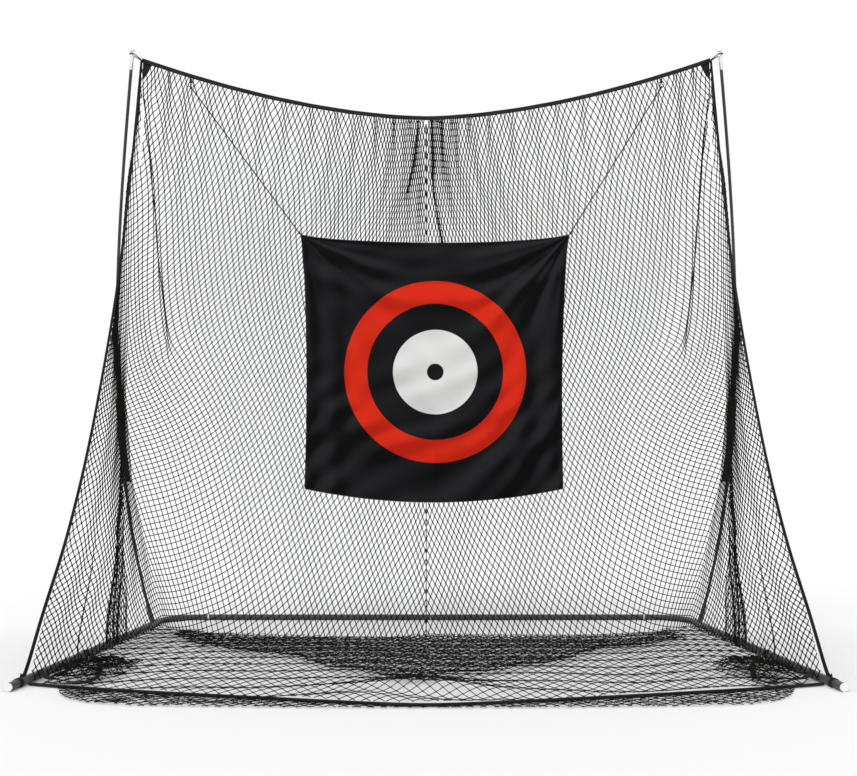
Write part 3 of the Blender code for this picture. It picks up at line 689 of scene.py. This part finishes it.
class Drape:
    """The hung net of one side as a map from (length outward from the middle, height) to 3-D."""

    def __init__(self, side):
        self.side = side
        self.heights = np.linspace(DRAPE_LOW_Z, DRAPE_HIGH_Z, DRAPE_ROWS)
        rows = [drape_row(z) for z in self.heights]
        self.reach = np.array([length[-1] for _, length in rows])
        self.corner = np.array([length[WALL_SAMPLES - 1] for _, length in rows])
        self.columns = np.linspace(0.0, self.reach.max(), DRAPE_COLUMNS)
        self.x = np.array([np.interp(self.columns, length, path[:, 0]) for path, length in rows])
        self.y = np.array([np.interp(self.columns, length, path[:, 1]) for path, length in rows])

    def reach_at(self, z):
        return np.interp(z, self.heights, self.reach)

    def corner_at(self, z):
        return np.interp(z, self.heights, self.corner)

    def settled(self, s, z):
        """Length outward once the folds have drawn the cloth together."""
        corner, reach = self.corner_at(z), self.reach_at(z)
        wall = s + wall_gathers(s, z, self.side) * smooth((corner - s) / 0.06)
        wall += corner_gathers(s, z, corner)
        share = (s - corner) / np.maximum(reach - corner, 1e-4)
        ease = smooth(share / 0.08) * smooth((1 - share) / 0.05)
        outer = s + side_gathers(share, z) * ease * (reach - corner)
        return np.where(s < corner, np.maximum(wall, 0.0), outer)

    def at(self, s, z):
        """Points of the cloth at lengths s and heights z, once its folds have drawn it together."""
        return self.surface(self.settled(s, z), z)

    def surface(self, s, z):
        """Points at lengths s and heights z, read from the grid of rows."""
        row = np.clip((z - DRAPE_LOW_Z) / (self.heights[1] - DRAPE_LOW_Z), 0, DRAPE_ROWS - 1.001)
        column = np.clip(s / self.columns[1], 0, DRAPE_COLUMNS - 1.001)
        i, j = row.astype(int), column.astype(int)
        result = []
        for grid in (self.x, self.y):
            low = lerp(grid[i, j], grid[i, j + 1], column - j)
            high = lerp(grid[i + 1, j], grid[i + 1, j + 1], column - j)
            result.append(lerp(low, high, row - i))
        x, y = result
        on_wall = smooth((self.corner_at(z) - s) / 0.06)
        y = y + wall_depth(x, z, self.side) * on_wall
        return np.stack([self.side * x, y, z], axis=-1)


# ---- lattice of knots and twine
def rising_angle(foot):
    """Slope of the strands that rise towards the middle, by where the steep strand stands."""
    angle = 54.0 - 49.0 * smooth((foot - 0.30) / 0.90) + 34.0 * np.clip(0.15 - foot, 0, 0.7)
    return np.radians(angle + 15.0 * smooth((foot - 1.25) / 0.30))


def steep_lean(s, z):
    """Outward lean of the steep strands, in length per height: less near the top and the sides."""
    lean = 1 / np.tan(np.radians(70.0 + 4.0 * smooth((z - 0.3) / 1.6)))
    return lean - (0.05 + 0.06 * smooth((z - 0.9) / 0.7)) * np.clip(s, 0, 1.1) * smooth(z / 0.6)


def drop(s, z):
    """How far the rows have slid down towards the poles and the front edges."""
    wall = 0.42 * np.clip(s - 0.30, 0, 0.9) * smooth((z - 0.5) / 1.6)
    return wall + 0.16 * np.clip(s - 1.25, 0, 1.5) * smooth(z / 0.6)


def standing_at(knot):
    """Length outward where the steep strand through a knot meets the floor."""
    return knot[0] - knot[1] * steep_lean(0.0, 0.0)


def wall_lattice(reach, top):
    """Knots of the hung net as (length outward, height), by steep strand and by row."""
    outward, inward = [np.zeros(2)], [np.zeros(2)]
    for run, way, limit in ((outward, 1, reach + 0.1), (inward, -1, 1.0)):
        while way * run[-1][0] < limit:
            angle = rising_angle(standing_at(run[-1]))
            run.append(run[-1] + way * BAR * np.array([math.cos(angle), -math.sin(angle)]))
    rows = [np.array(inward[:0:-1] + outward)]  # the lowest row
    while rows[-1][:, 1].min() < top + 0.6:
        s, z = rows[-1].T
        lean = steep_lean(s, z)
        rise = BAR / np.hypot(1.0, lean)
        rows.append(rows[-1] + np.stack([lean * rise, rise], axis=-1))
    grid = np.stack(rows, axis=1)
    grid[..., 1] -= drop(grid[..., 0], grid[..., 1])
    grid[..., 0] /= 1.0 + TOP_CROWDING * smooth((grid[..., 1] - 1.1) / 0.9)
    return grid


def clip_to(inside, start, end, steps=12):
    """Ends of each strand moved back to the border where it leaves the cloth."""
    first, last = inside(start), inside(end)
    keep = first | last
    start, end, first, last = start[keep], end[keep], first[keep], last[keep]
    for near, far, cut in ((start, end, first & ~last), (end, start, last & ~first)):
        low, high = np.zeros(cut.sum()), np.ones(cut.sum())
        a, b = near[cut], far[cut]
        for _ in range(steps):
            middle = (low + high) / 2
            within = inside(a + (b - a) * middle[:, None])
            low, high = np.where(within, middle, low), np.where(within, high, middle)
        far[cut] = a + (b - a) * low[:, None]
    return start, end


def lattice_strands(grid, inside):
    """Strands and knots of a net whose knots are in grid, by strand and by row."""
    pairs = ((grid[:-1], grid[1:]), (grid[:, :-1], grid[:, 1:]))
    starts = np.concatenate([a.reshape(-1, 2) for a, _ in pairs])
    ends = np.concatenate([b.reshape(-1, 2) for _, b in pairs])
    start, end = clip_to(inside, starts, ends)
    knots = grid.reshape(-1, 2)
    return start, end, knots[inside(knots)]


def strand_mesh(name, start, end, knots, twine):
    """Four-sided twines from start to end and a small knot at each crossing, as one mesh."""
    radius, knot_radius = twine
    along = end - start
    length = np.linalg.norm(along, axis=1)
    keep = length > SHORTEST_STRAND
    start, end, along, length = start[keep], end[keep], along[keep], length[keep]
    along /= length[:, None]
    lies_along_y = np.abs(along[:, 1:2]) >= 0.9
    across = np.cross(along, np.where(lies_along_y, [[1.0, 0.0, 0.0]], [[0.0, 1.0, 0.0]]))
    across /= np.linalg.norm(across, axis=1)[:, None]
    other = np.cross(along, across)
    corners = [across * radius, other * radius, -across * radius, -other * radius]
    points = np.stack([start + c for c in corners] + [end + c for c in corners], axis=1)
    base = (np.arange(len(start)) * 8)[:, None]
    quads = [base + np.array([[k, (k + 1) % 4, 4 + (k + 1) % 4, 4 + k]]) for k in range(4)]
    faces = np.concatenate(quads)
    faces = np.concatenate([faces[:, [0, 1, 2]], faces[:, [0, 2, 3]]])
    axes = np.kron(np.eye(3), [[1], [-1]])
    eight = np.array([[0, 2, 4], [2, 1, 4], [1, 3, 4], [3, 0, 4],
                      [2, 0, 5], [1, 2, 5], [3, 1, 5], [0, 3, 5]])
    lumps = (knots[:, None, :] + axes[None] * knot_radius).reshape(-1, 3)
    knot_base = len(points) * 8 + (np.arange(len(knots)) * 6)[:, None, None]
    knot_faces = (knot_base + eight[None]).reshape(-1, 3)
    piece = array_object(name, np.concatenate([points.reshape(-1, 3), lumps]),
                         np.concatenate([faces, knot_faces]), MATERIALS["netting"])
    piece.data.materials.append(MATERIALS["net_knots"])
    piece.data.polygons.foreach_set("material_index", np.repeat([0, 1], [len(faces), len(knot_faces)]))
    return piece


def net_piece(name, grid, inside, place, node, twine):
    """Netting cut from a lattice where inside says so, and put in its place in 3-D."""
    start, end, knots = lattice_strands(grid, inside)
    piece = strand_mesh(name, place(start), place(end), place(knots), twine)
    finish_piece(piece, ROOT, "netting", node)


def build_hung_net():
    """The wall and the two sides, each half laid out as one cloth from the middle outward."""
    for side, word in SIDES:
        drape = Drape(side)
        grid = wall_lattice(drape.reach.max(), NET_TOP_Z)

        def in_cloth(points):
            s, z = points.T
            top = webbing_z(drape.at(s, z)[:, 0]) - WEBBING_HALF * 0.4
            return (s > 0) & (s < drape.reach_at(z)) & (z > 0.006) & (z < top)

        def on_wall(points):
            return in_cloth(points) & (points[:, 0] <= drape.corner_at(points[:, 1]))

        def on_side(points):
            return in_cloth(points) & (points[:, 0] > drape.corner_at(points[:, 1]))

        def place(points):
            return drape.at(*points.T)

        net_piece(f"{word}_wall_netting", grid, on_wall, place, "net_back_panel", WALL_TWINE)
        net_piece(f"{word}_side_netting", grid, on_side, place, f"net_{word}_side_panel", WALL_TWINE)


def build_side_bands():
    """The bunched netting of each side's gather band: wide on the rail, a cord's width higher up."""
    for side, word in SIDES:
        drape = Drape(side)
        grid = flat_lattice(35.0, 98.0, 1.2)

        def in_band(points):
            across, z = points.T
            half = lerp(BAND_LOW_HALF, BAND_HIGH_HALF, smooth(z / BAND_TOP_Z) ** 1.3)
            return (np.abs(across) < BAND_CROWDING * half) & (z > BAND_LOW_Z) & (z < BAND_TOP_Z)

        def place(points):
            across, z = points.T
            corner, reach = drape.corner_at(z), drape.reach_at(z)
            s = corner + gather_place(z) * (reach - corner) + across / BAND_CROWDING
            at = drape.surface(s, z)
            at[:, 0] -= side * (0.010 + 0.005 * np.sin(across * 30 + 9 * z))
            return at

        net_piece(f"{word}_side_band", grid, in_band, place, f"net_{word}_side_panel", BAND_TWINE)


# ---- netting on the floor
def floor_height(x, y):
    """Height of the slack netting that lies on the floor."""
    wave = 0.0020 * (1 + np.sin(9.0 * x + 4.0 * y) * np.sin(7.0 * y - 3.0 * x))
    bent = y + 0.035 * np.sin(4.0 * x) + 0.016 * np.sin(11.0 * x + 1.0)
    ripple = 0.0050 * (1 + np.sin(math.tau * bent / 0.120))
    hump = 0.040 * bump(x, 0.0, 0.20) * bump(y, -0.665, 0.085)
    return FLOOR_LIFT + wave + ripple + hump


def pile_distance(x, y):
    """Distance from the middle of the right-hand pile, as a share of its reach."""
    return np.hypot((x - PILE_PLACE[0]) / PILE_REACH[0], (y - PILE_PLACE[1]) / PILE_REACH[1])


def pile_height(x, y):
    """Crumpled netting heaped beside the front of each rail, in the middle of its patch."""
    crumple = np.sin(61 * x + 23 * y) * np.sin(47 * y - 19 * x)
    return 0.012 + 0.022 * np.clip(1 - pile_distance(np.abs(x), y) ** 2, 0, 1) + 0.009 * crumple


def wall_foot_y(x):
    return lerp(WALL_FOOT_Y, REAR_FOOT.y, np.clip(np.abs(x / REAR_FOOT.x), 0, 1) ** WALL_TURN_LOW)


def floor_limit_x(y):
    """The floor netting leaves the rails and runs in to the ends of the rope."""
    return NET_FOOT_X - 0.075 * smooth((-0.36 - y) / 0.22)


def fold_y(x):
    """Front edge of the second layer, folded forward from the foot of the wall."""
    wander = 0.030 * np.sin(11.0 * x + 0.6) + 0.018 * np.sin(23.0 * x)
    return -0.575 + 0.80 * np.abs(x) ** 1.05 + wander


def flat_lattice(lean_angle, steep_angle, reach):
    """Knots of a flat net from its two strands' angles, in degrees."""
    a, b = (BAR * np.array([math.cos(math.radians(angle)), math.sin(math.radians(angle))])
            for angle in (lean_angle, steep_angle))
    count = int(reach / BAR)
    steps = np.arange(-count, count + 1)[:, None]
    return (steps * a)[:, None] + (steps * b)[None]


def lay_net(name, angles, inside, height, node, twine):
    """Netting laid on the floor at a height given by a function of x and y."""
    def lift(points):
        x, y = points.T
        return np.stack([x, y, height(x, y)], axis=-1)

    net_piece(name, flat_lattice(*angles, FLOOR_LATTICE_REACH), inside, lift, node, twine)


def build_floor_net():
    def on_floor(points):
        x, y = points.T
        return (np.abs(x) < floor_limit_x(y)) & (y < wall_foot_y(x)) & (y > rope_y(x) + ROPE_R)

    def second_layer(points):
        x, y = points.T
        return (y < wall_foot_y(x) - 0.01) & (y > fold_y(x)) & (np.abs(x) < SECOND_LAYER_HALF_WIDTH)

    def fold_edge(points):
        x, y = points.T
        from_middle = np.abs(y - fold_y(x) - 0.010)
        return (from_middle < FOLD_EDGE_HALF) & (np.abs(x) < FOLD_EDGE_HALF_WIDTH)

    def in_front(points):
        x, y = points.T
        share = np.abs(x) / SKIRT_HALF_WIDTH
        outer = lerp(lerp(SKIRT_MID_Y, -0.812, share**2), rope_y(x) - ROPE_R - 0.004, share**12)
        return (y < rope_y(x) - ROPE_R) & (y > outer) & (share < 1)

    def above_floor(lift, at_fold=0.0):
        return lambda x, y: floor_height(x, y) + lift + at_fold * bump(y - fold_y(x), 0.0, 0.03)

    def skirt_height(x, y):
        return FLOOR_LIFT + 0.002 * (1 + np.sin(31 * x) * np.sin(40 * y))

    def skirt_fold_height(x, y):
        return 0.0080 + 0.003 * np.sin(19 * x) * np.sin(50 * y)

    floor, skirt = "net_floor_panel", "net_front_skirt"
    for name, angles, inside, height, node, twine in (
        ("floor_netting", (38.0, 132.0), on_floor, floor_height, floor, FLOOR_TWINE),
        ("folded_floor_netting", (52.0, 118.0), second_layer, above_floor(0.0055, 0.004), floor,
         FLOOR_TWINE),
        ("crumpled_floor_netting", (20.0, 85.0), second_layer, above_floor(0.0105), floor,
         LAYER_TWINE),
        ("fold_edge_netting", (20.0, 150.0), fold_edge, above_floor(0.012), floor, FLOOR_TWINE),
        ("front_skirt_netting", (42.0, 130.0), in_front, skirt_height, skirt, FLOOR_TWINE),
        ("crumpled_skirt_netting", (15.0, 75.0), in_front, skirt_fold_height, skirt, LAYER_TWINE),
    ):
        lay_net(name, angles, inside, height, node, twine)


def build_corner_piles():
    """Netting heaped by the front of each rail, with the loose end of the floor's edge webbing."""
    for side, word in SIDES:
        for layer, angles in enumerate(PILE_ANGLES):
            def in_pile(points):
                x, y = points.T
                turn = np.arctan2(y - PILE_PLACE[1], x - side * PILE_PLACE[0])
                border = (1.0 - 0.20 * layer) * (1 + 0.16 * np.sin(9 * turn))
                return (pile_distance(side * x, y) < border) & (side * x < NET_FOOT_X - 0.004)

            def height(x, y):
                return pile_height(x, y) + 0.006 * layer

            name = f"{word}_corner_pile_{layer + 1}"
            lay_net(name, angles, in_pile, height, "net_floor_panel", PILE_TWINE)

        path = smooth_path([Vector((side * x, y, z)) for x, y, z in FLOOR_BINDING], 8)
        bm = bmesh.new()
        ups = [Vector((0.35 * math.sin(0.5 * k), 0.35 * math.cos(0.4 * k), 1)).normalized()
               for k in range(len(path))]
        add_ribbon(bm, path, ups, 0.008, BINDING_THICK)
        make_piece(f"{word}_floor_binding", bm, "webbing", "net_floor_panel")


# ---- webbing, rope and ties
def build_borders():
    """The webbing along the top, the rope along the floor, the seam and the sides' edges."""
    bm = bmesh.new()
    line = [Vector((x, CORNER.y + 0.0005 * math.sin(37 * x), webbing_z(x)))
            for x in np.linspace(-CORNER.x, CORNER.x, 161)]
    add_ribbon(bm, line, [BACK] * len(line), WEBBING_HALF, WEBBING_THICK)
    make_piece("top_edge_webbing", bm, "webbing", "top_webbing")

    bm = bmesh.new()
    rope = [Vector((x, rope_y(x), ROPE_R + 0.0003))
            for x in np.linspace(-ROPE_HALF_SPAN, ROPE_HALF_SPAN, 600)]
    add_tube(bm, rope, ROPE_R, 12, lay=28.0)
    make_piece("front_rope", bm, "floor_rope", "front_floor_rope")

    bm = bmesh.new()
    seam = [Vector((0, float(wall_y(np.array(0.0), np.array(z))) + 0.0030, z))
            for z in np.linspace(SEAM_TOP_Z, SEAM_LOW_Z, 110)]
    add_tube(bm, seam, SEAM_R, 6, up=ACROSS, lay=60.0)
    make_piece("centre_seam", bm, "webbing", "centre_seam_tape")

    for side, word in SIDES:
        bm = bmesh.new()
        path = side_edge_path(side, 150)
        add_ribbon(bm, path, [side * ACROSS] * len(path), BINDING_HALF, BINDING_THICK)
        make_piece(f"{word}_edge_binding", bm, "webbing", f"{word}_side_binding")


def build_corner_patches():
    """Doubled webbing sewn across the inside of each top corner."""
    for side, word in SIDES:
        y = CORNER.y + 0.0050
        far, near, low = CORNER.x - 0.003, CORNER.x - 0.040, CORNER.z - 0.080
        bm = bmesh.new()
        outline = [Vector((side * far, y, webbing_z(far) - 0.004)),
                   Vector((side * near, y, webbing_z(near) - 0.004)),
                   Vector((side * (far - 0.020), y + 0.001, lerp(low, webbing_z(near), 0.45))),
                   Vector((side * (far + 0.002), y + 0.002, low))]
        face = bm.faces.new([bm.verts.new(p) for p in outline])
        bmesh.ops.subdivide_edges(bm, edges=face.edges[:], cuts=3, use_grid_fill=True)
        piece = mesh_object(f"{word}_corner_patch", bm, MATERIALS["webbing"])
        thicken(piece, 0.0018)
        finish_piece(piece, ROOT, "webbing")


def build_sleeves():
    """Fabric sleeves on the poles: flattened, wrinkled, with a sewn flange towards the net."""
    for side, word in SIDES:
        rings = []
        for t in np.linspace(0, 1, 61).tolist():
            reach = lerp(SLEEVE_TOP_REACH, SLEEVE_LOW_REACH, t)
            centre = pole_point(side, lerp(SLEEVE_HIGH_Z, SLEEVE_LOW_Z, t))
            centre -= side * (reach - 0.0105) * ACROSS
            hem = 0.0008 if t < 0.03 or t > 0.97 else 0.0
            ring = []
            for a in turns(40):
                grown = hem + 0.0007 * math.sin(5 * a + 9 * t) * math.sin(26 * t + 2 * a)
                x, y = (reach + grown) * math.cos(a), (SLEEVE_DEPTH + grown) * math.sin(a)
                ring.append(centre + Vector((x, y, 0)))
            rings.append(ring)
        bm = bmesh.new()
        tube_faces(bm, rings, caps=False)
        piece = mesh_object(f"{word}_sleeve", bm, MATERIALS["sleeve_fabric"], True)
        thicken(piece, 0.0008)
        finish_piece(piece, ROOT, "sleeve_fabric", f"{word}_pole_sleeve")


def build_corner_loops():
    for side, word in SIDES:
        top, low = pole_point(side, TIP_TOP_Z), pole_point(side, TIP_TOP_Z - TIP_DROP)
        neck = low + (top - low).normalized() * TIP_NECK
        far, near = abs(neck.x) + 0.0108, CORNER.x + 0.0045
        path = []
        for turn in turns(64):
            x = lerp(near, far, (1 + math.cos(turn)) / 2)
            sunk = 0.026 * ((1 - math.cos(turn)) / 2) ** 1.5
            path.append(Vector((side * x, neck.y + 0.0120 * math.sin(turn), neck.z - sunk)))
        bm = bmesh.new()
        add_tube(bm, path, 0.0021, 8, closed=True, up=BACK, lay=120.0)
        make_piece(f"{word}_elastic_loop", bm, "elastic_cord", f"{word}_corner_loop")


def build_straps():
    spokes = [Vector((math.cos(a), 0, math.sin(a)))
              for a in np.radians(np.linspace(*STRAP_TURN, 49))]
    for side, word in SIDES:
        for place, y in STRAP_PLACES:
            centre = Vector((side * RAIL_X, y, TUBE_Z))
            bm = bmesh.new()
            add_ribbon(bm, [centre + spoke * STRAP_R for spoke in spokes], spokes, 0.009, 0.0018)
            make_piece(f"{word}_{place}_tie", bm, "webbing", f"{word}_{place}_rail_strap")


# ---- target
def hinge_point(side):
    return Vector((side * TAB_X, CORNER.y, webbing_z(TAB_X) - WEBBING_HALF - 0.0155))


def target_point(u, v):
    sag = 1 - (2 * u - 1) ** 2
    pinch = TARGET_PINCH * np.sin(math.pi * v)
    left = lerp(TARGET_TOP_X[0], TARGET_LOW_X[0], v) + pinch
    right = lerp(TARGET_TOP_X[1], TARGET_LOW_X[1], v) - pinch
    top = TARGET_TOP_Z - TARGET_TOP_SAG * sag
    low = TARGET_LOW_Z - TARGET_LOW_SAG * sag
    left_ear, right_ear = np.exp(-np.hypot(u, v) / 0.035), np.exp(-np.hypot(1 - u, v) / 0.035)
    return (lerp(left, right, u) + TARGET_EAR * (right_ear - left_ear),
            lerp(top, low, v) + TARGET_EAR * (right_ear + left_ear))


def target_folds(u, v):
    """Depth of the folds: swags from the top corners, upright folds by the sides, slack below."""
    swag = 0.0
    for corner, lean in ((0.0, 1.0), (1.0, -1.0)):
        du, dv = (u - corner) * lean, v
        reach = np.hypot(du, dv)
        turn = np.arctan2(dv, du + 1e-6)
        ray = np.sin(11.0 * turn + 1.2 * corner) + 0.35 * np.sin(27.0 * turn + 3.0 * reach)
        swag = swag + 0.0046 * ray * np.exp(-(((reach - 0.30) / 0.27) ** 2))
    hammock = v - 0.16 + 0.10 * (2 * u - 1) ** 2
    swag = swag + 0.0055 * bump(hammock, 0, 0.030) - 0.0040 * bump(hammock, 0.07, 0.030)
    upright = 0.0045 * (bump(u, 0.09, 0.09) + bump(u, 0.91, 0.09)) * np.sin(44 * u) * smooth(v / 0.4)
    slack = v + 0.55 * np.abs(u - 0.5)
    low = 0.0052 * smooth((v - 0.50) / 0.35) * np.sin(19.0 * slack + 5.0 * u)
    low += 0.0020 * smooth((v - 0.40) / 0.30) * np.sin(44.0 * (0.8 * u + v) + 3.0 * np.sin(7.0 * u))
    small = 0.0014 * np.sin(31 * u + 17 * v + 2 * np.sin(9 * v)) * np.sin(37 * v - 11 * u)
    return (swag + upright + low + small) * smooth(np.minimum(u, 1 - u) / 0.03 + 0.35)


def build_target():
    columns, rows = 216, 206
    u, v = np.meshgrid(np.linspace(0, 1, columns + 1), np.linspace(0, 1, rows + 1))
    x, z = target_point(u, v)
    y = CORNER.y + target_folds(u, v)
    points = np.stack([x, y, z], axis=-1).reshape(-1, 3)
    index = np.arange((columns + 1) * (rows + 1)).reshape(rows + 1, columns + 1)
    faces = np.stack([index[:-1, :-1], index[1:, :-1], index[1:, 1:], index[:-1, 1:]], axis=-1)
    sheet = array_object("target_cloth", points, faces.reshape(-1, 4), MATERIALS["target_fabric"], True)
    # Painted fold light and shade: each fold's slope towards a light at the upper left, stored on the
    # cloth for its material to paint the faces paler or darker.
    upward = np.gradient(y, axis=0) / np.gradient(z, axis=0)
    sideways = np.gradient(y, axis=1) / np.gradient(x, axis=1)
    fold_shading = sheet.data.attributes.new("fold_shading", "FLOAT", "POINT")
    fold_shading.data.foreach_set("value", (upward - 0.7 * sideways).astype(np.float32).ravel())
    thicken(sheet, 0.0012, 0.0)
    finish_piece(sheet, TARGET, "target_fabric", "target_sheet")

    hem = bmesh.new()
    border = []
    rising = np.linspace(0, 1, 90)
    none, full = np.zeros(90), np.ones(90)
    for us, vs in ((rising, none), (full, rising), (rising[::-1], full), (none, rising[::-1])):
        edge_x, edge_z = target_point(us, vs)
        edge_y = CORNER.y + target_folds(us, vs)
        border += [Vector(p) for p in zip(edge_x[:-1], edge_y[:-1], edge_z[:-1])]
    add_tube(hem, border, 0.0019, 6, closed=True, up=BACK)
    hem_piece = make_piece("target_hem", hem, "webbing", body=TARGET)


def build_target_lines():
    for side, word in SIDES:
        hole = hinge_point(side)
        corner_x, corner_z = target_point((side + 1) / 2, 0.0)
        corner = Vector((float(corner_x), CORNER.y, float(corner_z)))
        eye = hole - Vector((0, 0, EYE_R))
        knot = eye - Vector((0, 0, EYE_R))
        bm = bmesh.new()
        ring = [eye + EYE_R * Vector((math.sin(a), 0, math.cos(a))) for a in turns(40)]
        add_tube(bm, ring, 0.0016, 8, closed=True, up=BACK, lay=150.0)
        add_tube(bm, resample([corner, knot], 260), 0.0024, 9, up=BACK, lay=110.0)
        for at, size in ((knot, 0.0046), (corner + (knot - corner).normalized() * 0.008, 0.0052)):
            made = bmesh.ops.create_uvsphere(bm, u_segments=14, v_segments=10, radius=size)
            bmesh.ops.translate(bm, verts=made["verts"], vec=at)
        make_piece(f"{word}_target_line", bm, "elastic_cord", f"{word}_target_cord", body=TARGET)

        bm = bmesh.new()
        outward = [Vector((0, math.sin(a), math.cos(a))) for a in turns(24)]
        loop = [hole + TAB_LOOP_R * spoke for spoke in outward]
        add_ribbon(bm, loop, outward, TAB_HALF, 0.0012, closed=True)
        top = Vector((hole.x, hole.y, webbing_z(TAB_X) - WEBBING_HALF - 0.0028))
        add_ribbon(bm, resample([hole + TAB_LOOP_R * UP, top], 8), [BACK] * 8, TAB_HALF, WEBBING_THICK)
        make_piece(f"{word}_tab", bm, "webbing", f"{word}_cord_tab")


# ---- finishes of the CAD nodes
def paint_frame():
    for row in frame["record"]["subparts"]:
        node = frame["nodes"][row["node"]]
        if node.hide_render:
            continue
        for place in node.material_slots:
            place.material = MATERIALS[row["material_slot"]]


for build in (build_stage, build_hung_net, build_side_bands, build_floor_net, build_corner_piles,
              build_borders, build_corner_patches, build_sleeves, build_corner_loops, build_straps,
              build_target_lines, build_target, paint_frame):
    build()
bpy.context.view_layer.update()
